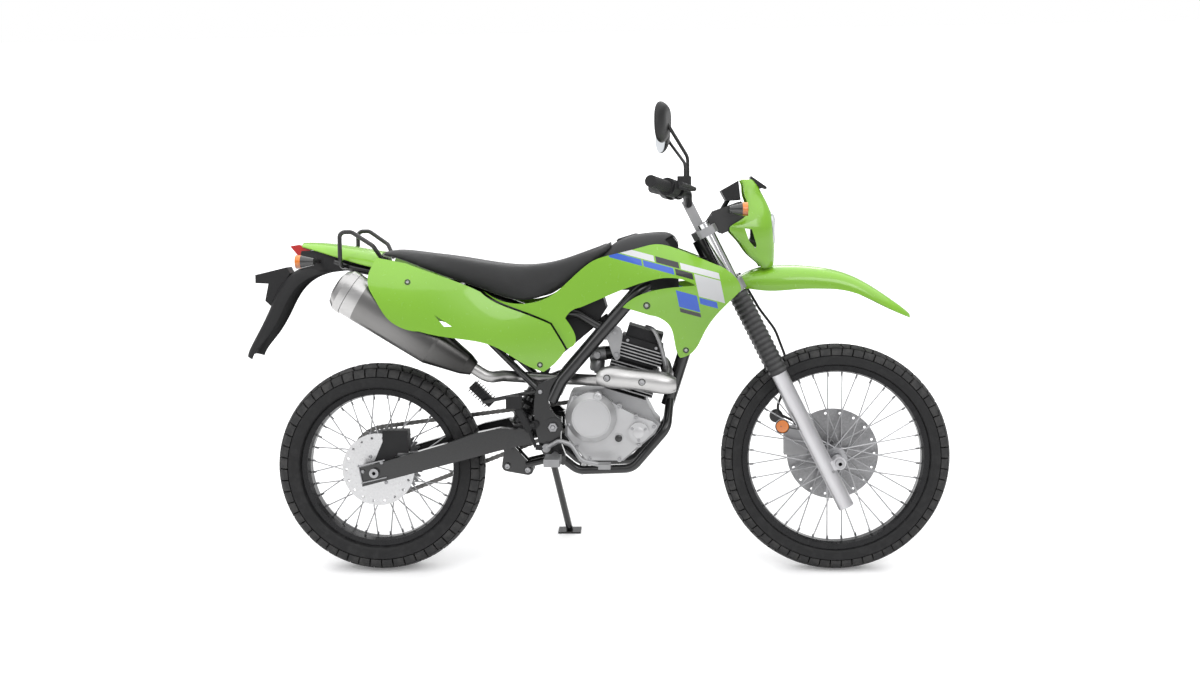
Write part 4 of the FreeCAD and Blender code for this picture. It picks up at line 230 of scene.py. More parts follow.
FLOOR_REACH = 90
floor_finish = Finish("studio_paper", None, Roughness=0.9, Emission_Color=(1, 1, 1, 1))
paper = floor_finish.noise(3, 2)
floor_finish.colour(floor_finish.mixed(paper, (0.92, 0.92, 0.92), (0.94, 0.94, 0.94)))
far = floor_finish.eased(floor_finish.place.worked("LENGTH"), 3.5, 12)
floor_finish.shader.inputs["Emission Strength"].default_value = 1
floor_finish.feed(floor_finish.shader.inputs["Emission Color"],
                  floor_finish.mixed(far, (0.16, 0.16, 0.16), (0.95, 0.95, 0.95)))
floor_mesh = bpy.data.meshes.new("studio_floor")
floor_mesh.from_pydata([(along * FLOOR_REACH, beside * FLOOR_REACH, 0)
                        for along, beside in ((-1, -1), (1, -1), (1, 1), (-1, 1))], [], [(0, 1, 2, 3)])
floor_mesh.materials.append(floor_finish.material)
floor = bpy.data.objects.new("studio_floor", floor_mesh)
bpy.context.scene.collection.objects.link(floor)
floor.visible_diffuse = False

# Tyres. Block tyres of black rubber for road and trail, moulded in one piece: a smooth carcass seats on the
# rim, with a thin line beside it, and its crown carries rows of closely set blocks with slanting grooves.
GROOVE = 0.0082
CROWN_FOOT_SHARE = 0.56
TYRE_WEAR = 0.0005
BEAD_WALL = 0.0044
BEAD_DEPTH = 0.0114
BEAD_ROUND = 0.001
CROWN_DROP = 0.0002
RIM_LINE = Vector((0.0006, 0.0012))
BLOCK_ROOT = 0.0012
BLOCK_DRAFT = 1.05
CROWN_END_SHARE = 0.999
TYRE_SHARES = ((0.2, 0.86), (0.42, 0.96), (0.62, 1.0), (0.8, 0.93), (0.93, 0.64), (1.0, 0.24))
# each block: where its corners lie along two pitches of the crown and across half of it
BLOCK_SHARES = (
    ((0.06, 0.0), (0.84, 0.0), (1.0, 0.215), (0.22, 0.215)),
    ((1.06, 0.0), (1.84, 0.0), (2.0, 0.215), (1.22, 0.215)),
    ((0.28, 0.265), (1.08, 0.265), (0.8, 0.585), (0.32, 0.585)),
    ((1.22, 0.265), (2.16, 0.265), (2.2, 0.585), (0.94, 0.585)),
    ((0.04, 0.635), (0.93, 0.635), (0.97, 1.0), (0.08, 1.0)),
    ((1.05, 0.635), (1.92, 0.635), (1.95, 1.0), (1.08, 1.0)))


def flowing(points, steps):
    """Points on a smooth line through the given ones, steps to each stretch."""
    points = [Vector(point) for point in points]
    ends = [2 * points[0] - points[1]] + points + [2 * points[-1] - points[-2]]
    line = []
    for before, start, end, after in zip(ends, ends[1:], ends[2:], ends[3:]):
        for step in range(steps):
            t = step / steps
            line.append(0.5 * (2 * start + (end - before) * t
                               + (2 * before - 5 * start + 4 * end - after) * t ** 2
                               + (3 * start - before - 3 * end + after) * t ** 3))
    return line + [points[-1]]


def turned(section, count, closed=True):
    """A mesh turned about Y from (distance from the axis, distance along it) points."""
    shape = bmesh.new()
    rings = []
    for turn in range(count):
        angle = 2 * math.pi * turn / count
        rings.append([shape.verts.new((out * math.cos(angle), side, out * math.sin(angle)))
                      for out, side in section])
    size = len(section)
    for ring, after in zip(rings, rings[1:] + rings[:1]):
        for place in range(size if closed else size - 1):
            beyond = (place + 1) % size
            shape.faces.new((ring[place], ring[beyond], after[beyond], after[place]))
    bmesh.ops.remove_doubles(shape, verts=shape.verts, dist=1e-6)
    bmesh.ops.recalc_face_normals(shape, faces=shape.faces)
    return shape


def plain(shape, name):
    """The mesh of a shape that is done."""
    mesh = bpy.data.meshes.new(name)
    shape.to_mesh(mesh)
    shape.free()
    return mesh


def merged(name, meshes):
    shape = bmesh.new()
    for mesh in meshes:
        shape.from_mesh(mesh)
    return plain(shape, name)


def settled(item):
    """The mesh of an object as its modifiers leave it."""
    bpy.context.view_layer.update()
    return bpy.data.meshes.new_from_object(item.evaluated_get(bpy.context.evaluated_depsgraph_get()))


def grown(mesh, tree, **entries):
    """The plain mesh that a tree of geometry nodes makes of a mesh."""
    item = bpy.data.objects.new(mesh.name, mesh)
    bpy.context.scene.collection.objects.link(item)
    modifier = item.modifiers.new("growth", "NODES")
    modifier.node_group = tree
    identifiers = {socket.name: socket.identifier for socket in tree.interface.items_tree
                   if socket.in_out == "INPUT"}
    for name, value in entries.items():
        modifier[identifiers[name.replace("_", " ")]] = value
    result = settled(item)
    bpy.data.objects.remove(item)
    return result


def fitted(name, mesh, body, finish, place=PARKED, crease=38, also=()):
    """Makes a mesh a piece of the machine: at its place, riding on its body and in its finish."""
    mesh.transform(place)
    for one in (finish, *also):
        if one.material.name not in mesh.materials:
            mesh.materials.append(one.material)
    mesh.shade_smooth()
    mesh.set_sharp_from_angle(angle=math.radians(crease))
    item = bpy.data.objects.new(name, mesh)
    bpy.context.scene.collection.objects.link(item)
    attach(item, body)
    return item


def new_tree(name, **entries):
    """An empty tree of geometry nodes with its inputs; gives the builder, the inputs and the output node."""
    tree = bpy.data.node_groups.new(name, "GeometryNodeTree")
    tree.interface.new_socket("Geometry", in_out="OUTPUT", socket_type="NodeSocketGeometry")
    tree.interface.new_socket("Geometry", in_out="INPUT", socket_type="NodeSocketGeometry")
    for entry, kind in entries.items():
        tree.interface.new_socket(entry.replace("_", " "), in_out="INPUT", socket_type="NodeSocket" + kind)
    source = tree.nodes.new("NodeGroupInput")
    inputs = {socket.name: Wire(tree, socket) for socket in source.outputs if socket.name}
    return Nodes(tree), inputs, tree.nodes.new("NodeGroupOutput")


def finish_tree(builder, output, copies, material):
    """Ends a tree: its copies become real mesh in one material."""
    real = builder.add("GeometryNodeRealizeInstances", Geometry=copies)
    builder.feed(output.inputs[0], builder.add("GeometryNodeSetMaterial", Geometry=real, Material=material))


ring_tree, ring_in, ring_out = new_tree("copies_round_an_axle", Copies="Int", Finish="Material")
turns = ring_tree.add("GeometryNodeInputIndex") * (2 * math.pi) / ring_in["Copies"]
ring_points = ring_tree.add("GeometryNodePoints", Count=ring_in["Copies"])
ring_copies = ring_tree.add("GeometryNodeInstanceOnPoints", Points=ring_points, Instance=ring_in["Geometry"],
                            Rotation=ring_tree.add("ShaderNodeCombineXYZ", Y=turns))
finish_tree(ring_tree, ring_out, ring_copies, ring_in["Finish"])


def block_plan(corners):
    """A tread block in plan: rows of three spots. A block on the middle line is bent to a V across it."""
    on_middle = corners[0][1] == 0
    rows = 5 if on_middle else 4
    plan = []
    for row in range(rows):
        part = row / (rows - 1)
        spots = []
        for column in range(3):
            first = Vector(corners[0]).lerp(Vector(corners[1]), column / 2)
            last = Vector(corners[3]).lerp(Vector(corners[2]), column / 2)
            if on_middle:
                swing = 2 * part - 1
                spots.append(Vector((first.x + (last.x - first.x) * abs(swing), swing * last.y)))
            else:
                spots.append(first.lerp(last, part))
        plan.append(spots)
    return plan


def add_block(shape, tops, feet):
    """Adds the faces of a block between its grids of top and foot points."""
    for grid in (tops, feet):
        for row, after in zip(grid, grid[1:]):
            for column in range(2):
                shape.faces.new((row[column], row[column + 1], after[column + 1], after[column]))
    edges = [grid[0][:-1] + [row[-1] for row in grid[:-1]] + grid[-1][:0:-1] + [row[0] for row in grid[:0:-1]]
             for grid in (tops, feet)]
    for number in range(len(edges[0])):
        after = (number + 1) % len(edges[0])
        shape.faces.new((edges[0][number], edges[0][after], edges[1][after], edges[1][number]))


def tyre(word, radius, width, bead, rim_width, pitches, place):
    """A turned carcass, and blocks that are copied round the axle two pitches at a time."""
    inner = rim_width / 2 - BEAD_WALL
    lip = bead + BEAD_DEPTH
    height = radius - bead
    crown_foot = bead + CROWN_FOOT_SHARE * height
    half = [(bead + height * up, width / 2 * side) for up, side in TYRE_SHARES] + [(radius - CROWN_DROP, 0)]
    line = flowing([(lip + BEAD_ROUND, rim_width / 2 - BEAD_ROUND)] + half, 6)
    crown = [point for point in line if point[0] > crown_foot]
    crown.reverse()
    lengths = [0]
    for first, second in zip(crown, crown[1:]):
        lengths.append(lengths[-1] + (second - first).length)

    def on_crown(share, depth):
        """A place on the crown, a share of the way from its middle to its edge, and so far under it."""
        wanted = abs(share) * lengths[-1]
        reached = (number for number, length in enumerate(lengths) if length >= wanted)
        step = max(1, next(reached, len(crown) - 1))
        part = (wanted - lengths[step - 1]) / (lengths[step] - lengths[step - 1])
        along = (crown[step] - crown[step - 1]).normalized()
        under = Vector((along[1], -along[0])) * (1 if along[1] > 0 else -1)
        point = crown[step - 1].lerp(crown[step], part) - under * depth
        return point[0], math.copysign(point[1], share)

    wall = [point for point in line if point[0] <= crown_foot]
    wall.insert(5, wall[4].lerp(wall[5], 0.5) + RIM_LINE)
    groove_floor = [on_crown(1 - number / 10, GROOVE) for number in range(11)]
    section = [(bead, inner), (lip, inner)] + [tuple(point) for point in wall] + groove_floor
    whole = section + [(out, -side) for out, side in reversed(section[:-1])]
    carcass = plain(turned(whole, 144), word + "_carcass")
    groove_half = wall[-1][1] - GROOVE / 2
    # faces of the groove floor take the second material, a rubber darker than the rest: painted shade in the
    # grooves
    for face in carcass.polygons:
        out = math.hypot(face.center.x, face.center.z)
        if out > crown_foot - GROOVE and abs(face.center.y) < groove_half:
            face.material_index = 1

    blocks = bmesh.new()
    pitch = 2 * math.pi / (2 * pitches)
    for corners in BLOCK_SHARES:
        plan = block_plan(corners)
        middle = sum((spot for spots in plan for spot in spots), Vector((0, 0))) / (len(plan) * 3)
        for side in ((1,) if corners[0][1] == 0 else (1, -1)):
            grids = []
            for depth, spread in ((0, 1.0), (GROOVE + BLOCK_ROOT, BLOCK_DRAFT)):
                grid = []
                for spots in plan:
                    row = []
                    for spot in spots:
                        where = middle + (spot - middle) * spread
                        share = max(-CROWN_END_SHARE, min(CROWN_END_SHARE, where.y * side)) or 1e-6
                        out, side_way = on_crown(share, depth)
                        angle = where.x * pitch
                        row.append(blocks.verts.new((out * math.cos(angle), side_way, out * math.sin(angle))))
                    grid.append(row)
                grids.append(grid)
            add_block(blocks, *grids)
    bmesh.ops.recalc_face_normals(blocks, faces=blocks.faces)
    tread = grown(plain(blocks, word + "_blocks"), ring_tree.tree, Copies=pitches, Finish=rubber.material)
    for face in tread.polygons:
        face.material_index = 2
    item = fitted(word, merged(word, [carcass, tread]), word.replace("tyre", "wheel"), rubber, place, 30,
                  (groove_rubber, tread_rubber))
    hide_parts(word)


rubber = Finish("tyre_rubber", "tyre_rubber", Specular_IOR_Level=0.35)
dust = rubber.noise(38, 5)
rubber.colour(rubber.mixed(rubber.eased(dust, 0.42, 0.72), (0.010, 0.010, 0.0105), (0.024, 0.024, 0.0245)))
rubber.rough(0.5 + 0.3 * dust).relief(rubber.noise(900, 2), 0.0002)
tread_rubber = Finish("tread_rubber", "tyre_rubber", Specular_IOR_Level=0.4)
scuffs = tread_rubber.noise(45, 5)
tread_rubber.colour(tread_rubber.mixed(tread_rubber.eased(scuffs, 0.4, 0.7), (0.022, 0.022, 0.0225),
                                       (0.052, 0.051, 0.05)))
tread_rubber.rough(0.5 + 0.3 * scuffs).relief(tread_rubber.noise(700, 2), 0.0002)
# the floor of the grooves is coloured near black, darker than the sidewall and the blocks: painted shade in
# the grooves
groove_rubber = Finish("groove_rubber", "tyre_rubber", Specular_IOR_Level=0.2).mottled(
    60, 4, (0.003, 0.003, 0.003), (0.008, 0.008, 0.008), 0.7, 0.2)
FRONT_BEAD = 0.2685
REAR_BEAD = 0.2305
tyre("front_tyre", FRONT_RADIUS - TYRE_WEAR, 0.080, FRONT_BEAD, 0.054, 31, FRONT_WHEEL)
tyre("rear_tyre", REAR_RADIUS - TYRE_WEAR, 0.112, REAR_BEAD, 0.070, 26, REAR_WHEEL)

# Rims, hubs and spokes. Black anodised rims laced with bright steel spokes to cast alloy hubs, and the axles
# with their nuts. Each spoke is held in the rim by a square nipple.
def dressed(finish, *nodes):
    """Gives CAD nodes their finish."""
    for node in nodes:
        materials = frame["nodes"][node].data.materials
        materials.clear()
        materials.append(finish.material)


# one tree sets a fastener at each point, in the turn and the size that the point carries
seat_tree, seat_in, seat_out = new_tree("fasteners_in_their_seats", Fastener="Object", Finish="Material")
turn_of, size_of = (seat_tree.add("GeometryNodeInputNamedAttribute", {"data_type": "FLOAT_VECTOR"}, Name=name)
                    for name in ("turn", "size"))
fastener = seat_tree.add("GeometryNodeObjectInfo", out="Geometry", Object=seat_in["Fastener"])
held = seat_tree.add("GeometryNodeInstanceOnPoints", Points=seat_in["Geometry"], Instance=fastener,
                     Rotation=turn_of, Scale=size_of)
finish_tree(seat_tree, seat_out, held, seat_in["Finish"])


def copied(name, form, finish, body, seats, place=Matrix()):
    """Sets one form at many seats, each given as its place, its turn and its size."""
    points = bpy.data.meshes.new(name)
    points.from_pydata([spot for spot, turn, size in seats], [], [])
    turns_there = points.attributes.new("turn", "FLOAT_VECTOR", "POINT")
    sizes_there = points.attributes.new("size", "FLOAT_VECTOR", "POINT")
    for number, (spot, turn, size) in enumerate(seats):
        turns_there.data[number].vector = tuple(turn)
        sizes_there.data[number].vector = (size, size, size)
    template = bpy.data.objects.new(name + "_form", form)
    bpy.context.scene.collection.objects.link(template)
    copies = grown(points, seat_tree.tree, Fastener=template, Finish=finish.material)
    bpy.data.objects.remove(template)
    return fitted(name, copies, body, finish, place)


def turn_to(facing):
    """The turn that points a form's Y along a direction."""
    return facing.to_track_quat("Y", "Z").to_euler()


black_anodised = Finish("black_anodised_rim", "rim_black", Metallic=0.7).mottled(
    60, 4, (0.01, 0.01, 0.011), (0.028, 0.028, 0.029), 0.2, 0.16)
dressed(black_anodised, "front_rim", "rear_rim")
bright_steel = Finish("bright_steel", "hub_metal", Metallic=1.0).mottled(
    70, 3, (0.3, 0.3, 0.31), (0.46, 0.46, 0.47), 0.24, 0.2)
dressed(bright_steel, "front_hub", "rear_hub", "front_axle", "rear_axle")

SPOKE_GROUPS = 9
SPOKE_LEAN = math.radians(55)
SPOKE_SHARE = 0.25
NIPPLE_DEPTH = 0.0125
NIPPLE_HALF = 0.0032
OUTER_SPREAD = 0.009
INNER_SPREAD = 0.003
# a form's section is given in shares of the fastener's radius: distance from the axis, distance along it
nipple_form = plain(turned([(0, 0), (1, 0), (1, 3.2), (0.7, 3.6), (0, 3.6)], 4, False), "nipple_form")
for word, bead, place in (("front", FRONT_BEAD, FRONT_WHEEL), ("rear", REAR_BEAD, REAR_WHEEL)):
    seats = []
    for side in (-1, 1):
        for group in range(SPOKE_GROUPS):
            for way in (-1, 1):
                share = group + SPOKE_SHARE * way + (0.5 if side > 0 else 0)
                angle = 2 * math.pi / SPOKE_GROUPS * share + way * SPOKE_LEAN
                spread = OUTER_SPREAD if way * side > 0 else INNER_SPREAD
                outward = Vector((math.cos(angle), 0, math.sin(angle)))
                spot = outward * (bead - NIPPLE_DEPTH) + Vector((0, side * spread, 0))
                seats.append((spot, turn_to(-outward), NIPPLE_HALF))
    copied(word + "_nipples", nipple_form, bright_steel, word + "_wheel", seats, place)

# Brake discs. Stainless steel, drilled near the edge, each bolted to its hub by cap screws. The rear one is
# coloured brighter than the front one, which lies behind its wheel on the far side: painted light on one
# steel.
disc_steel = Finish("disc_steel", "disc_steel", Metallic=1.0).mottled(
    160, 3, (0.17, 0.17, 0.175), (0.34, 0.34, 0.345), 0.26, 0.16)
# the rear disc's steel is coloured brighter than the front disc's: painted light, as the front disc lies
# behind its wheel
polished_disc = Finish("polished_disc", "disc_steel", Metallic=1.0).mottled(
    160, 3, (0.5, 0.5, 0.505), (0.68, 0.68, 0.685), 0.22, 0.16)
dressed(disc_steel, "front_disc", "rear_sprocket")
dressed(polished_disc, "rear_disc")
screw_form = plain(turned([(0, -0.3), (1, -0.3), (1.06, -0.18), (1, 0.42), (0.84, 0.62), (0.56, 0.62),
                           (0.5, 0.2), (0, 0.2)], 12, False), "screw_form")
nut_form = plain(turned([(0, -0.2), (1, -0.2), (1, 0.62), (0.9, 0.75), (0.55, 0.75), (0.5, 1.05), (0.4, 1.15),
                         (0, 1.15)], 6, False), "nut_form")
grommet_form = plain(turned([(0, -0.5), (1.0, -0.5), (1.0, 0.12), (0.9, 0.2), (0.8, 0.16), (0.62, -0.05),
                             (0, -0.05)], 28, False), "grommet_form")
DISC_BOLTS = 6
DISC_BOLT_RADIUS = 0.0052
for word, circle, face, place in (("front", 0.037, 0.0522, FRONT_WHEEL),
                                  ("rear", 0.046, -0.0642, REAR_WHEEL)):
    seats = []
    for number in range(DISC_BOLTS):
        angle = 2 * math.pi * number / DISC_BOLTS
        spot = Vector((circle * math.cos(angle), face, circle * math.sin(angle)))
        seats.append((spot, turn_to(Vector((0, math.copysign(1, face), 0))), DISC_BOLT_RADIUS))
    copied(word + "_disc_bolts", screw_form, bright_steel, word + "_wheel", seats, place)

# Chain and sprockets. A steel roller chain runs on the left from the small sprocket of the gearbox to the
# large one of the rear wheel. Plates in pairs, outer and inner by turns, are held by pins through rollers.
REAR_PITCH_RADIUS = 0.111
DRIVE_PITCH_RADIUS = 0.035
REAR_STEPS = 48
DRIVE_STEPS = 24
REAR_TEETH = 44
DRIVE_TEETH = 14
TOOTH_WALL = 0.0055
CHAIN_LINE = 0.070
CHAIN_PITCH = 0.015875
LINK_WALL = 0.0016
LINK_HEIGHT = 0.0135
HEAD_DISTANCE = 0.968
HEAD_HEIGHT = 1.0259


def at(along, up, across_it=0.0):
    """A place on the upright machine, in shares of the steering head's distance and height."""
    return Vector((HEAD_DISTANCE * along, across_it, HEAD_HEIGHT * up))


def extruded(shape, outline, near, far):
    """Adds a plate with an outline across Y, from one place on Y to another."""
    rows = [[shape.verts.new((x, y, z)) for x, z in outline] for y in (near, far)]
    for row in rows:
        shape.faces.new(row)
    for number in range(len(outline)):
        after = (number + 1) % len(outline)
        shape.faces.new((rows[0][number], rows[0][after], rows[1][after], rows[1][number]))


def link(name, half_gap, pin_half, pin_radius):
    """Two plates with round ends and a waist, and a roller or a pin across them at each end."""
    shape = bmesh.new()
    outline = []
    for end in (1, -1):
        for step in range(7):
            angle = math.radians(-75 + 25 * step)
            outline.append((end * (CHAIN_PITCH / 2 + LINK_HEIGHT / 2 * math.cos(angle)),
                            end * LINK_HEIGHT / 2 * math.sin(angle)))
        outline.append((0, end * LINK_HEIGHT * 0.4))
    for side in (-1, 1):
        extruded(shape, outline, side * half_gap, side * half_gap + side * LINK_WALL)
    for end in (1, -1):
        turn = Matrix.Translation((end * CHAIN_PITCH / 2, 0, 0)) @ Matrix.Rotation(math.pi / 2, 4, "X")
        bmesh.ops.create_cone(shape, cap_ends=True, segments=10, radius1=pin_radius, radius2=pin_radius,
                              depth=2 * pin_half, matrix=turn)
    bmesh.ops.recalc_face_normals(shape, faces=shape.faces)
    return plain(shape, name)


rear_centre = Vector((0, CHAIN_LINE, REAR_RADIUS))
drive_centre = at(0.63, 0.46, CHAIN_LINE)
run = drive_centre - rear_centre
run_angle = math.atan2(run.z, run.x)
spread = math.acos((REAR_PITCH_RADIUS - DRIVE_PITCH_RADIUS) / run.length)


def on_loop(centre, radius, angle):
    return centre + Vector((radius * math.cos(angle), 0, radius * math.sin(angle)))


loop = [on_loop(rear_centre, REAR_PITCH_RADIUS,
                run_angle + spread + (2 * math.pi - 2 * spread) * step / REAR_STEPS)
        for step in range(REAR_STEPS + 1)]
loop += [on_loop(drive_centre, DRIVE_PITCH_RADIUS, run_angle - spread + 2 * spread * step / DRIVE_STEPS)
         for step in range(DRIVE_STEPS + 1)]
loop_lengths = [0.0]
for first, second in zip(loop, loop[1:] + loop[:1]):
    loop_lengths.append(loop_lengths[-1] + (second - first).length)
link_count = 2 * round(loop_lengths[-1] / CHAIN_PITCH / 2)


def along_loop(share):
    """A place on the chain's line, a share of its length from the start."""
    wanted = share % 1 * loop_lengths[-1]
    step = next(number for number, length in enumerate(loop_lengths[1:]) if length >= wanted)
    part = (wanted - loop_lengths[step]) / (loop_lengths[step + 1] - loop_lengths[step])
    return loop[step].lerp(loop[(step + 1) % len(loop)], part)


chain_steel = Finish("chain_steel", "chain_steel", Metallic=0.9).mottled(
    90, 4, (0.1, 0.098, 0.095), (0.3, 0.295, 0.285), 0.35, 0.25)
link_seats = ([], [])
for number in range(link_count):
    first = along_loop(number / link_count)
    second = along_loop((number + 1) / link_count)
    turn = (0, -math.atan2(second.z - first.z, second.x - first.x), 0)
    link_seats[number % 2].append(((first + second) / 2, turn, 1.0))
chain = copied("chain_inner_links", link("inner_link", 0.0034, 0.0033, 0.005), chain_steel, "chassis",
               link_seats[0], PARKED)
copied("chain_outer_links", link("outer_link", 0.0051, 0.0078, 0.0025), chain_steel, "chassis", link_seats[1],
       PARKED)


def teeth(name, radius, count, body, place):
    """A row of sprocket teeth that stand between the chain's rollers."""
    gap = 2 * math.pi * radius / count
    outline = [(radius + out, share * gap) for share, out in (
        (-0.34, -0.012), (0.34, -0.012), (0.26, -0.003), (0.1, 0.0035), (-0.1, 0.0035), (-0.26, -0.003))]
    tooth = bmesh.new()
    extruded(tooth, outline, -TOOTH_WALL / 2, TOOTH_WALL / 2)
    bmesh.ops.recalc_face_normals(tooth, faces=tooth.faces)
    row = grown(plain(tooth, name), ring_tree.tree, Copies=count, Finish=disc_steel.material)
    fitted(name, row, body, disc_steel, place)


drive_place = PARKED @ Matrix.Translation(drive_centre)
teeth("rear_sprocket_teeth", REAR_PITCH_RADIUS, REAR_TEETH, "rear_wheel",
      REAR_WHEEL @ Matrix.Translation((0, CHAIN_LINE, 0)))
teeth("drive_sprocket_teeth", DRIVE_PITCH_RADIUS, DRIVE_TEETH, "chassis", drive_place)
drive_section = [(0, -0.0125), (0.013, -0.0125), (0.0135, -0.003), (0.027, -0.003), (0.027, 0.003),
                 (0.0135, 0.003), (0.012, 0.009), (0, 0.009)]
drive_mesh = plain(turned(drive_section, 32, False), "drive_sprocket")
drive = fitted("drive_sprocket", drive_mesh, "chassis", disc_steel, drive_place)
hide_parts("chain")
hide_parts("chain")

# Frame, subframe, swingarm and stand. Welded steel tubes and plates in gloss black paint. Big bolts hold the
# swingarm in the plates and the rocker in its links, and a bright bracket frames the end of the arm.
frame_paint = Finish("frame_paint", "frame_paint", Coat_Weight=0.7, Coat_Roughness=0.06,
                     Specular_IOR_Level=0.3).mottled(220, 3, (0.004, 0.004, 0.0045), (0.012, 0.012, 0.0125),
                                                     0.25, 0.15)
frame_paint.relief(frame_paint.noise(220, 3), 0.0001)
dressed(frame_paint, "frame", "subframe", "swingarm", "side_stand", "shock", "grab_rails")
SIDE_REACH = 0.7
skins = {}


def on_skin(node, along, up, side):
    """Where a line from the machine's side first meets a CAD node, and which way the surface faces there."""
    if node not in skins:
        mesh = frame["nodes"][node].data
        skins[node] = BVHTree.FromPolygons([corner.co for corner in mesh.vertices],
                                           [face.vertices for face in mesh.polygons])
    spot, facing, _, _ = skins[node].ray_cast(PARKED @ Vector((along, SIDE_REACH * side, up)), across * -side)
    return spot, facing


def bolted(name, form, finish, body, places):
    """Fasteners on the machine's sides, each given as a node, its place in side view, its side and size."""
    seats = []
    for node, (along, up), side, size in places:
        spot, facing = on_skin(node, along, up, side)
        seats.append((spot, turn_to(facing), size))
    return copied(name, form, finish, body, seats)


def side_view(along, up):
    """A place in side view, in shares of the steering head's distance and height."""
    return HEAD_DISTANCE * along, HEAD_HEIGHT * up


def on_both_sides(node, spots, size):
    return [(node, spot, side, size) for spot in spots for side in (-1, 1)]


bolted("swingarm_bolts", nut_form, bright_steel, "chassis",
       on_both_sides("frame", [side_view(0.555, 0.443)], 0.015))
bolted("rocker_bolts", screw_form, bright_steel, "chassis",
       [("shock", side_view(*shares), -1, 0.009) for shares in ((0.402, 0.313), (0.466, 0.302))])
bolted("plate_bolts", screw_form, bright_steel, "chassis",
       on_both_sides("frame", [side_view(0.517, 0.545), side_view(0.56, 0.352)], 0.0068))
bolted("chain_adjuster_bolts", nut_form, bright_steel, "chassis",
       on_both_sides("swingarm", [(-0.035, 0.322), (0.022, 0.349)], 0.0058))

BAR_ROUND = 0.0009


def bar_between(first, last, wide, thick):
    """A flat bar with rounded edges between two places of the upright machine."""
    shape = bmesh.new()
    way = last - first
    place = Matrix.Translation((first + last) / 2) @ way.to_track_quat("X", "Y").to_matrix().to_4x4()
    bmesh.ops.create_cube(shape, size=1, matrix=place @ Matrix.Diagonal((way.length + wide, thick, wide, 1)))
    bmesh.ops.bevel(shape, geom=shape.edges, offset=BAR_ROUND, segments=2, affect="EDGES")
    return plain(shape, "bar")


ARM_FACE = -0.1157
END_BAR_WIDTH = 0.009
BAR_WALL = 0.003
end_corners = [Vector((along, ARM_FACE, up))
               for along, up in ((0.033, 0.304), (-0.037, 0.288), (-0.047, 0.338), (0.028, 0.356))]
end_bars = [bar_between(first, last, END_BAR_WIDTH, BAR_WALL)
            for first, last in zip(end_corners, end_corners[1:])]
fitted("arm_end_bracket", merged("arm_end_bracket", end_bars), "chassis", bright_steel)

# Engine. Bead blasted castings with a clear coat: a crankcase with round covers under a finned cylinder and
# head, whose fins have bright machined edges over heat proof black. Cap screws sit on the bosses round the
# clutch cover, and a sight glass, a pump cover and an oil filler cap stand out of the right side.
cast_alloy = Finish("cast_alloy", "alloy_cast", Metallic=0.8).mottled(
    14, 3, (0.25, 0.25, 0.255), (0.38, 0.38, 0.385), 0.36, 0.16)
cast_alloy.relief(cast_alloy.noise(420, 4), 0.00025)
dressed(cast_alloy, "engine_case", "triple_clamps", "foot_controls", "head_bracket", "front_caliper")
CYLINDER_LEAN = math.radians(17)
FIN_EDGE_DEPTH = 0.005
FIN_EDGE_FRONT = 0.001
SOOT = ((0.008, 0.008, 0.009), (0.03, 0.03, 0.031))
cylinder_way = PARKED.to_3x3() @ Vector((math.cos(CYLINDER_LEAN), 0, -math.sin(CYLINDER_LEAN)))
cylinder_foot = PARKED @ at(0.781, 0.5311)


def finned(name, node, fin_edge):
    """Cast fins with bright machined edges over a core in heat proof black."""
    finish = Finish(name, "alloy_cast", Metallic=0.6, Specular_IOR_Level=0.4)
    beside = abs(finish.measured(across, cylinder_foot))
    along_it = abs(finish.measured(cylinder_way, cylinder_foot))
    edge = finish.eased(beside.worked("MAXIMUM", along_it), fin_edge - FIN_EDGE_DEPTH,
                        fin_edge - FIN_EDGE_FRONT)
    clouds = finish.noise(40, 4)
    machined = finish.mixed(clouds, (0.36, 0.36, 0.365), (0.5, 0.5, 0.505))
    finish.colour(finish.mixed(edge, finish.mixed(clouds, *SOOT), machined))
    finish.rough(0.45 - 0.1 * edge + 0.15 * clouds)
    dressed(finish, node)


finned("barrel_fins", "cylinder", 0.075)
finned("head_fins", "cylinder_head", 0.072)
cover_alloy = Finish("cover_alloy", "alloy_cast", Metallic=0.75).mottled(
    9, 3, (0.44, 0.44, 0.445), (0.56, 0.56, 0.565), 0.32, 0.14)
cover_alloy.relief(cover_alloy.noise(520, 3), 0.00015)
dressed(cover_alloy, "clutch_cover")
black_paint = Finish("barrel_paint", "cover_black", Metallic=0.3, Specular_IOR_Level=0.35)
dressed(black_paint.mottled(40, 4, *SOOT, 0.4, 0.2), "regulator")

COVER_BOSSES = ((0.623, 0.525), (0.757, 0.5), (0.604, 0.45), (0.808, 0.468), (0.864, 0.441), (0.817, 0.389),
                (0.757, 0.347), (0.665, 0.347), (0.626, 0.384))
PUMP_CENTRE = Vector((0.7909, 0.437))
PUMP_SCREW_CIRCLE = 0.0225
pump_screws = [PUMP_CENTRE + PUMP_SCREW_CIRCLE * Vector((math.cos(angle), math.sin(angle)))
               for angle in (0.5, 2.6, 4.7)]
bolted("clutch_cover_screws", screw_form, bright_steel, "chassis",
       [("clutch_cover", side_view(*shares), -1, 0.0056) for shares in COVER_BOSSES])
bolted("pump_cover_screws", screw_form, bright_steel, "chassis",
       [("clutch_cover", spot, -1, 0.0042) for spot in pump_screws])
bolted("head_bracket_screws", nut_form, bright_steel, "chassis",
       [("head_bracket", side_view(*shares), -1, 0.0075)
        for shares in ((0.747, 0.714), (0.719, 0.698), (0.75, 0.648))])
bolted("head_screws", screw_form, bright_steel, "chassis",
       on_both_sides("cylinder_head", [(0.7595, 0.706), (0.8435, 0.6812)], 0.005))


def faced(section, count, place, side):
    """A turned part at a place of the upright machine that faces out of one of its sides."""
    mesh = plain(turned(section, count, False), "turned_part")
    mesh.transform(Matrix.Translation(place) @ (Matrix() if side > 0 else Matrix.Rotation(math.pi, 4, "X")))
    return mesh


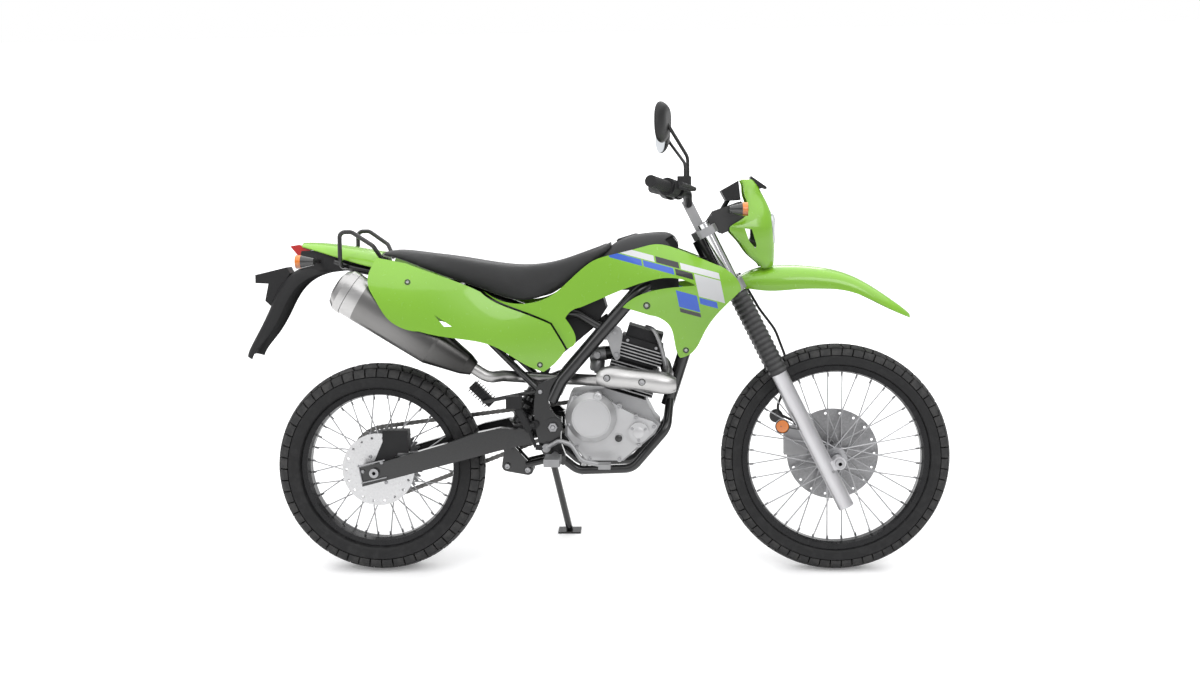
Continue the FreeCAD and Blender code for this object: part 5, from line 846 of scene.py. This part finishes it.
black_plug = Finish("black_plug", "plastic_black", Coat_Weight=0.6, Specular_IOR_Level=0.4)
black_plug.colour(black_plug.mixed(black_plug.noise(90, 3), (0.006, 0.006, 0.006), (0.014, 0.014, 0.014)))
black_plug.rough(0.25 + 0.1 * black_plug.noise(60, 2))
window = faced([(0, 0), (0.0108, 0), (0.0108, 0.0035), (0.009, 0.005), (0, 0.0056)], 28,
               (0.7308, -0.1083, 0.4186), -1)
fitted("sight_glass_window", window, "chassis", black_plug)
filler = faced([(0, -0.012), (0.0135, -0.012), (0.0135, 0.010), (0.0115, 0.0125), (0.0115, 0.016),
                (0.0095, 0.0175), (0, 0.0175)], 24, (0.672, -0.1163, 0.546), -1)
grip_place = Matrix.Translation((0.672, -0.136, 0.546)) @ Matrix.Rotation(0.5, 4, "Y")
grip_bar = bmesh.new()
bmesh.ops.create_cube(grip_bar, size=1, matrix=grip_place @ Matrix.Diagonal((0.017, 0.008, 0.0045, 1)))
bmesh.ops.bevel(grip_bar, geom=grip_bar.edges, offset=0.0012, segments=2, affect="EDGES")
filler_cap = merged("oil_filler_cap", [filler, plain(grip_bar, "grip_bar")])
fitted("oil_filler_cap", filler_cap, "chassis", cover_alloy)
pump_boss = faced([(0, 0), (0.0165, 0), (0.0165, 0.0016), (0.0152, 0.0024), (0, 0.0024)], 40,
                  (PUMP_CENTRE.x, -0.1193, PUMP_CENTRE.y), -1)
fitted("pump_cover_boss", pump_boss, "chassis", cover_alloy)
clutch_face = faced([(0, 0), (0.0545, 0), (0.0535, 0.0013), (0, 0.0018)], 96, (0.652, -0.1343, 0.4822), -1)
fitted("clutch_cover_face", clutch_face, "chassis", cover_alloy)

# Intake and plug. A cast carburettor with its float bowl hangs on a rubber stub behind the cylinder head, a
# steel air pipe runs down the head's right side, and a rubber cap sits on the spark plug.
PIPE_SIDES = 12
PIPE_RADIUS = 0.0065


def rod(section, count, first, last):
    """A turned part along the line between two places of the upright machine, its section in metres."""
    mesh = plain(turned(section, count, False), "rod")
    turn = (Vector(last) - Vector(first)).to_track_quat("Y", "Z")
    mesh.transform(Matrix.Translation(first) @ turn.to_matrix().to_4x4())
    return mesh


def pipe(points, radius):
    """A round pipe through places of the upright machine."""
    line = flowing(points, 8)
    shape = bmesh.new()
    rings = []
    side = (line[1] - line[0]).orthogonal().normalized()
    for number, spot in enumerate(line):
        way = (line[min(number + 1, len(line) - 1)] - line[max(number - 1, 0)]).normalized()
        side = (side - way * side.dot(way)).normalized()
        other = way.cross(side)
        angles = [2 * math.pi * turn / PIPE_SIDES for turn in range(PIPE_SIDES)]
        rings.append([shape.verts.new(spot + radius * (side * math.cos(angle) + other * math.sin(angle)))
                      for angle in angles])
    for ring, after in zip(rings, rings[1:]):
        for turn in range(PIPE_SIDES):
            beyond = (turn + 1) % PIPE_SIDES
            shape.faces.new((ring[turn], ring[beyond], after[beyond], after[turn]))
    shape.faces.new(rings[0])
    shape.faces.new(rings[-1])
    bmesh.ops.recalc_face_normals(shape, faces=shape.faces)
    return plain(shape, "pipe")


stub = rod([(0, 0), (0.021, 0), (0.021, 0.012), (0.0235, 0.013), (0.0235, 0.02), (0.021, 0.021),
            (0.021, 0.045), (0, 0.045)], 24, (0.735, 0, 0.668), (0.69, 0, 0.662))
fitted("intake_stub", stub, "chassis", black_plug)
throat = rod([(0, 0), (0.022, 0), (0.022, 0.05), (0, 0.05)], 24, (0.692, 0, 0.662), (0.642, 0, 0.656))
float_bowl = rod([(0, 0), (0.021, 0), (0.0225, 0.003), (0.0225, 0.026), (0.019, 0.034), (0.008, 0.036),
                  (0.008, 0.041), (0, 0.041)], 24, (0.667, 0, 0.642), (0.662, 0, 0.6))
cable_boss = rod([(0, 0), (0.01, 0), (0.01, 0.03), (0, 0.03)], 16, (0.667, -0.02, 0.66), (0.667, -0.05, 0.66))
fitted("carburettor", merged("carburettor", [throat, float_bowl, cable_boss]), "chassis", cast_alloy)
air_pipe = pipe([(0.815, -0.05, 0.745), (0.838, -0.078, 0.735), (0.858, -0.084, 0.69), (0.868, -0.08, 0.645),
                 (0.872, -0.06, 0.615)], PIPE_RADIUS)
fitted("air_pipe", air_pipe, "chassis", cast_alloy)
plug_cap = rod([(0, 0), (0.0085, 0), (0.0105, 0.003), (0.0105, 0.012), (0.0085, 0.014), (0.0085, 0.04),
                (0.0065, 0.044), (0, 0.044)], 20, (0.775, 0.062, 0.69), (0.755, 0.1, 0.715))
fitted("spark_plug_cap", plug_cap, "chassis", black_plug)

# Exhaust. A satin steel header and silencer. A bright shield with two screws keeps the rider's leg off the
# pipe, and the dark silencer ends in a bright rounded cap. The silencer's body darkens towards its front end,
# partly its own dark tone and partly painted shade.
CAP_SEAM = 0.385
SEAM_WIDTH = 0.001
BRIGHT_STEEL_TONES = ((0.42, 0.415, 0.41), (0.52, 0.515, 0.51))
SHIELD_SPOTS = ((0.7, 0.6035), (0.802, 0.591))


def brushed(finish):
    """Noise in long streaks, as a brush leaves them."""
    return finish.noise(9, 4, finish.place * Vector((1, 30, 30)))


satin_steel = Finish("satin_steel", "exhaust_steel", Metallic=1.0)
streaks = brushed(satin_steel)
satin_steel.colour(satin_steel.mixed(streaks, (0.3, 0.295, 0.29), (0.44, 0.435, 0.43)))
dressed(satin_steel.rough(0.26 + 0.16 * streaks), "exhaust_header")
silencer = Finish("silencer_steel", "exhaust_steel", Metallic=1.0)
along_it = silencer.measured(PARKED.to_3x3() @ Vector((-0.86, 0, 0.51)), PARKED @ Vector((0.32, 0, 0.655)))
streaks = brushed(silencer)
# the silencer's body goes from near black at its front end to a lighter grey further back: partly its own
# dark tone, partly painted shade
body_tone_and_shade = silencer.mixed(silencer.eased(along_it, 0.02, 0.3), (0.045, 0.044, 0.043), (0.2, 0.197, 0.193))
silencer.colour(silencer.mixed(silencer.eased(along_it, CAP_SEAM - SEAM_WIDTH, CAP_SEAM), body_tone_and_shade,
                               silencer.mixed(streaks, *BRIGHT_STEEL_TONES)))
dressed(silencer.rough(0.24 + 0.14 * streaks), "muffler")
shield_steel = Finish("shield_steel", "shield_steel", Metallic=1.0)
dressed(shield_steel.mottled(16, 3, *BRIGHT_STEEL_TONES, 0.3, 0.12), "heat_shield")
bolted("shield_washers", grommet_form, black_plug, "chassis",
       [("heat_shield", spot, -1, 0.0105) for spot in SHIELD_SPOTS])
bolted("shield_screws", screw_form, bright_steel, "chassis",
       [("heat_shield", spot, -1, 0.0085) for spot in SHIELD_SPOTS])

# Fuel tank, its cover, the air box and the seat. The tank hides under a black grained cover with a screw cap.
# The seat is firm foam under a stretched vinyl cover with a matt grain.
black_plastic = Finish("black_plastic", "plastic_black", Specular_IOR_Level=0.3)
pore = black_plastic.noise(700, 2)
black_plastic.colour(black_plastic.mixed(black_plastic.noise(12, 3), (0.008, 0.008, 0.0085),
                                         (0.018, 0.018, 0.019)))
black_plastic.rough(0.45 + 0.16 * pore).relief(pore, 0.00015)
dressed(black_plastic, "air_box", "fuel_tank", "rear_mudguard", "cowl_lip", "instrument", "handlebar",
        "rear_brake", "fuel_cap")


def cells(finish, scale):
    """The pattern of a leather grain: 0 in its creases."""
    return finish.add("ShaderNodeTexVoronoi", {"feature": "DISTANCE_TO_EDGE"}, Vector=finish.place,
                      Scale=scale)


grained_black = Finish("grained_black", "plastic_black", Specular_IOR_Level=0.4).mottled(
    11, 3, (0.02, 0.02, 0.021), (0.034, 0.034, 0.035), 0.5, 0.14)
dressed(grained_black.relief(cells(grained_black, 620.0), 0.0004, 0.6), "tank_cover")
vinyl = Finish("seat_vinyl", "seat_cover", Specular_IOR_Level=0.35, Sheen_Weight=0.15)
rubbed = vinyl.noise(8, 4)
vinyl.colour(vinyl.mixed(vinyl.eased(rubbed, 0.35, 0.7), (0.011, 0.011, 0.0115), (0.02, 0.02, 0.021)))
vinyl.rough(0.5 + 0.2 * rubbed).relief(cells(vinyl, 420.0), 0.0005, 0.7)
COVER_VOXEL = 0.006
COVER_RISE = 0.0025
COVER_SHRINK = 0.6
COVER_PRESSURE = 4
COVER_TENSION = 40
COVER_FRAMES = 20


def padded_copy(node, voxel, cap):
    """A soft copy of a CAD solid: its cover is blown up by a cloth simulation, no further than the cap."""
    item = bpy.data.objects.new(node + "_foam", frame["nodes"][node].data.copy())
    bpy.context.scene.collection.objects.link(item)
    remesh = item.modifiers.new("even_cover", "REMESH")
    remesh.mode = "VOXEL"
    remesh.voxel_size = voxel
    smooth = item.modifiers.new("worn_edges", "SMOOTH")
    smooth.factor = 0.5
    smooth.iterations = 3
    start = settled(item)
    item.modifiers.clear()
    item.data = start
    steps = [point.normal * cap * COVER_SHRINK for point in start.vertices]
    for point, step in zip(start.vertices, steps):
        point.co = point.co - step
    before = [point.co.copy() for point in start.vertices]
    cloth = item.modifiers.new("cover", "CLOTH")
    cloth.settings.use_pressure = True
    cloth.settings.uniform_pressure_force = COVER_PRESSURE
    cloth.settings.effector_weights.gravity = 0
    cloth.settings.tension_stiffness = COVER_TENSION
    for number in range(1, COVER_FRAMES + 1):
        bpy.context.scene.frame_set(number)
    blown = item.evaluated_get(bpy.context.evaluated_depsgraph_get()).data
    moves = [point.co - place for point, place in zip(blown.vertices, before)]
    item.modifiers.clear()
    bpy.context.scene.frame_set(1)
    for point, place, move in zip(item.data.vertices, before, moves):
        point.co = place + (move if move.length < cap else move.normalized() * cap)
    finer = item.modifiers.new("finer", "SUBSURF")
    finer.levels = finer.render_levels = 1
    result = settled(item)
    bpy.data.objects.remove(item)
    result.materials.clear()
    return result


seat = fitted("seat", padded_copy("seat", COVER_VOXEL, COVER_RISE), "chassis", vinyl, Matrix(), 80)
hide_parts("seat")

# Body panels. Injection moulded plastic, coloured green right through, with a high gloss. Film in slanted
# blocks of blue, white and black lies on the shrouds, and black grommets with steel screws hold the panels.
STRIPE_FALL = math.radians(15)
FILM_SLANT = 0.5
BLUE = (0.030, 0.120, 0.62)
WHITE = (0.72, 0.73, 0.74)
PALE = (0.66, 0.67, 0.68)
BLACK = (0.008, 0.008, 0.009)
# each block of film: where it starts and ends along the stripes, how low and how high it lies, its colour
FILM_BLOCKS = (
    (0.010, 0.110, 0.002, 0.019, BLUE), (0.034, 0.152, 0.022, 0.039, WHITE),
    (0.115, 0.206, 0.002, 0.019, BLUE), (0.157, 0.226, 0.022, 0.039, BLACK),
    (0.211, 0.263, 0.002, 0.019, BLACK), (0.231, 0.345, 0.022, 0.039, WHITE),
    (0.268, 0.345, -0.040, 0.019, PALE), (0.200, 0.262, -0.084, -0.040, BLUE),
    (0.268, 0.320, -0.060, -0.043, BLUE), (0.200, 0.262, -0.098, -0.087, BLACK))


def green_plastic(name):
    """Glossy green plastic: the finish, its colour and its roughness."""
    finish = Finish(name, "plastic_green", Coat_Weight=0.6, Coat_Roughness=0.04)
    colour = finish.mixed(finish.noise(5, 3), (0.215, 0.49, 0.022), (0.25, 0.55, 0.03))
    return finish, colour, 0.22 + 0.08 * finish.noise(90, 3)


lime, lime_colour, lime_rough = green_plastic("green_plastic")
dressed(lime.colour(lime_colour).rough(lime_rough), "side_cover_right", "side_cover_left", "tail_fender",
        "front_fender", "headlight_cowl")
striped, painted, paint_rough = green_plastic("green_plastic_with_film")
film_start = PARKED @ Vector((0.7, 0, 0.955))
film_along = PARKED.to_3x3() @ Vector((math.cos(STRIPE_FALL), 0, -math.sin(STRIPE_FALL)))
film_up = PARKED.to_3x3() @ Vector((math.sin(STRIPE_FALL), 0, math.cos(STRIPE_FALL)))
film_height = striped.measured(film_up, film_start)
film_length = striped.measured(film_along, film_start) + FILM_SLANT * film_height
film_there = 0
for start, end, low, high, film_colour in FILM_BLOCKS:
    inside = (film_length > start) * (film_length < end) * (film_height > low) * (film_height < high)
    painted = striped.mixed(inside, painted, film_colour)
    film_there = film_there + inside
dressed(striped.colour(painted).rough(paint_rough + 0.08 * film_there), "shroud_right", "shroud_left")
SCREW_SHARE = 0.56
grommets = [(node + word, spot, side, size) for side, word in ((-1, "right"), (1, "left"))
            for node, spot, size in (("shroud_", (0.818, 0.814), 0.0105), ("shroud_", (0.931, 0.683), 0.0088),
                                     ("side_cover_", (0.504, 0.643), 0.0085),
                                     ("side_cover_", (0.125, 0.89), 0.0085))]
panel_screws = [(node, spot, side, size * SCREW_SHARE) for node, spot, side, size in grommets]
bolted("panel_grommets", grommet_form, black_plug, "chassis", grommets)
bolted("panel_screws", screw_form, bright_steel, "chassis", panel_screws)

# Fork. Hard chromed tubes slide in cast silver legs under long rubber gaiters with close folds, coloured near
# black in their hollows and lighter on their ridges as painted shade and highlight. An amber reflector sits
# on a bracket behind each leg, and a screw clamps the axle in the foot of each leg.
LEG_SHIFT = 0.025
LEG_SPREAD = 0.095
FOLD_INSIDE = 0.0235
FOLD_OUTSIDE = 0.0288
chrome = Finish("hard_chrome", "fork_chrome", Metallic=1.0)
dressed(chrome.mottled(30, 3, (0.62, 0.62, 0.63), (0.74, 0.74, 0.75), 0.1, 0.08), "fork_tubes")
hose_rubber = Finish("gaiter_rubber", "boot_rubber", Specular_IOR_Level=0.35).mottled(
    40, 4, (0.008, 0.008, 0.0085), (0.02, 0.02, 0.021), 0.45, 0.2)
dressed(hose_rubber, "front_brake_hose")
folds = Finish("gaiter_folds", "boot_rubber", Specular_IOR_Level=0.4)
from_leg = folds.measured(FORK.to_3x3() @ AHEAD, FORK.translation) - LEG_SHIFT
beside_leg = abs(folds.measured(across, FORK.translation)) - LEG_SPREAD
out_of_leg = (from_leg * from_leg + beside_leg * beside_leg).worked("SQRT")
# the gaiters are near black in the hollows of the folds and lighter on their ridges, by distance from the
# leg's axis: painted shade and highlight
fold_shade_and_highlight_mask = folds.eased(out_of_leg, FOLD_INSIDE, FOLD_OUTSIDE)
painted_crest_highlight = folds.mixed(folds.noise(60, 4), (0.03, 0.03, 0.031), (0.075, 0.075, 0.076))
folds.colour(folds.mixed(fold_shade_and_highlight_mask, (0.002, 0.002, 0.002), painted_crest_highlight)).rough(0.62 - 0.24 * fold_shade_and_highlight_mask)
dressed(folds, "fork_boots")
slider_silver = Finish("slider_silver", "slider_silver", Metallic=0.8, Coat_Weight=0.3).mottled(
    12, 3, (0.52, 0.515, 0.53), (0.62, 0.615, 0.63), 0.3, 0.12)
dressed(slider_silver.relief(slider_silver.noise(480, 3), 0.00015), "fork_sliders")
amber = Finish("amber_lens", "amber_lens", Coat_Weight=1.0)
amber_ribs = amber.place.worked("DOT_PRODUCT", (900, 0, 0)).worked("SINE")
amber.colour(amber.mixed(amber.noise(50, 2), (0.7, 0.16, 0.006), (0.85, 0.24, 0.01)))
amber.rough(0.1 + 0.05 * amber.noise(80, 2)).relief(amber_ribs, 0.0004)
REFLECTOR = Vector((1.213, 0.104, 0.452))
HOLDER_WIDTH = 0.016
lenses = []
holders = []
for side in (-1, 1):
    spot = Vector((REFLECTOR.x, side * REFLECTOR.y, REFLECTOR.z))
    lenses.append(faced([(0, 0.002), (0.0185, 0.002), (0.0185, 0.0065), (0.0172, 0.0078), (0, 0.0082)], 40,
                        spot, side))
    holders.append(faced([(0, -0.003), (0.021, -0.003), (0.021, 0.0068), (0.0198, 0.0072), (0.0188, 0.0062),
                          (0.0188, 0.001), (0, 0.001)], 40, spot, side))
    holders.append(bar_between(spot, spot + Vector((0.062, -0.006 * side, -0.012)), HOLDER_WIDTH, BAR_WALL))
fitted("fork_reflectors", merged("fork_reflectors", lenses), "steering", amber)
fitted("fork_reflector_holders", merged("fork_reflector_holders", holders), "steering", black_plug)
bolted("axle_clamp_screws", screw_form, bright_steel, "steering",
       on_both_sides("fork_sliders", [(1.362, 0.318)], 0.0045))

# Cockpit, mirrors and lamps. Black moulded housings hold a clear headlight lens, red and amber lamps, and
# mirror glass that faces the rider. The grips are soft rubber with fine ribs.
REAR_LENS_EDGE = -0.191
REAR_LENS_HALF = 0.06
FRONT_LENS_EDGE = 1.096
HEAD_LENS_EDGE = 1.162


def lamp(name, slot, node, tone_of_lens, inside):
    """A black housing with a lens where the mask is 1."""
    finish = Finish(name, slot, Coat_Weight=1.0, Coat_Roughness=0.03)
    share = inside(finish)
    clouds = finish.noise(60, 2)
    housing = finish.mixed(clouds, (0.006, 0.006, 0.006), (0.014, 0.014, 0.014))
    finish.colour(finish.mixed(share, housing, tone_of_lens(finish, clouds)))
    dressed(finish.rough(0.3 - 0.2 * share + 0.05 * clouds), node)


def amber_tone(finish, clouds):
    return finish.mixed(clouds, (0.75, 0.17, 0.006), (0.88, 0.26, 0.012))


def tail_light(finish):
    return abs(finish.measured(across)) < REAR_LENS_HALF


def amber_or_red(finish, clouds):
    red = finish.mixed(clouds, (0.5, 0.008, 0.006), (0.62, 0.014, 0.01))
    return finish.mixed(tail_light(finish), amber_tone(finish, clouds), red)


def lens_painted_reflection(finish, clouds):
    """Glass coloured near white, a painted reflection of the bright reflector behind it, with dark upright
    flute lines as painted shade.
    """
    flute_shade = finish.eased((finish.measured(across) * 420).worked("SINE"), -0.9, 0.9)
    glass = finish.mixed(clouds, (0.7, 0.73, 0.75), (0.86, 0.88, 0.9))
    return finish.mixed(flute_shade, (0.34, 0.36, 0.38), glass)


lamp("front_indicator", "amber_lens", "front_indicators", amber_tone,
     lambda finish: finish.measured(AHEAD) > FRONT_LENS_EDGE)
lamp("rear_lamp", "rear_lens", "rear_lamps", amber_or_red,
     lambda finish: tail_light(finish) + (finish.measured(AHEAD) < REAR_LENS_EDGE) > 0.5)
lamp("headlight_unit", "lamp_lens", "headlight", lens_painted_reflection,
     lambda finish: finish.measured(AHEAD) > HEAD_LENS_EDGE)

MIRROR_MIDDLE = Vector((0.8718, 0.3))
MIRROR_TURN = 0.3
MIRROR_FACE = -0.0125
MIRROR_FOOT = 1.27
mirror = Finish("mirror_and_housing", "plastic_black", Specular_IOR_Level=0.4)
behind = (mirror.measured(AHEAD) + MIRROR_TURN * abs(mirror.measured(across))
          - (MIRROR_MIDDLE.x + MIRROR_TURN * MIRROR_MIDDLE.y))
glass_there = (behind < MIRROR_FACE) * (mirror.measured(rise) > MIRROR_FOOT)
mirror_tone = mirror.noise(30, 2)
housing = mirror.mixed(mirror_tone, (0.008, 0.008, 0.0085), (0.016, 0.016, 0.016))
glass = mirror.mixed(mirror_tone, (0.30, 0.32, 0.34), (0.36, 0.38, 0.40))
mirror.colour(mirror.mixed(glass_there, housing, glass))
mirror.feed(mirror.shader.inputs["Metallic"], glass_there)
dressed(mirror.rough(0.42 - 0.4 * glass_there + 0.1 * mirror_tone * (1 - glass_there)), "mirrors")

GRIP_START = 0.3
grip_rubber = Finish("grip_rubber", "bar_black", Specular_IOR_Level=0.35).mottled(
    50, 3, (0.008, 0.008, 0.0085), (0.02, 0.02, 0.021), 0.45, 0.2)
ribs = (grip_rubber.measured(across) * 1800).worked("SINE")
dressed(grip_rubber.relief(ribs * (abs(grip_rubber.measured(across)) > GRIP_START), 0.0008), "hand_controls")
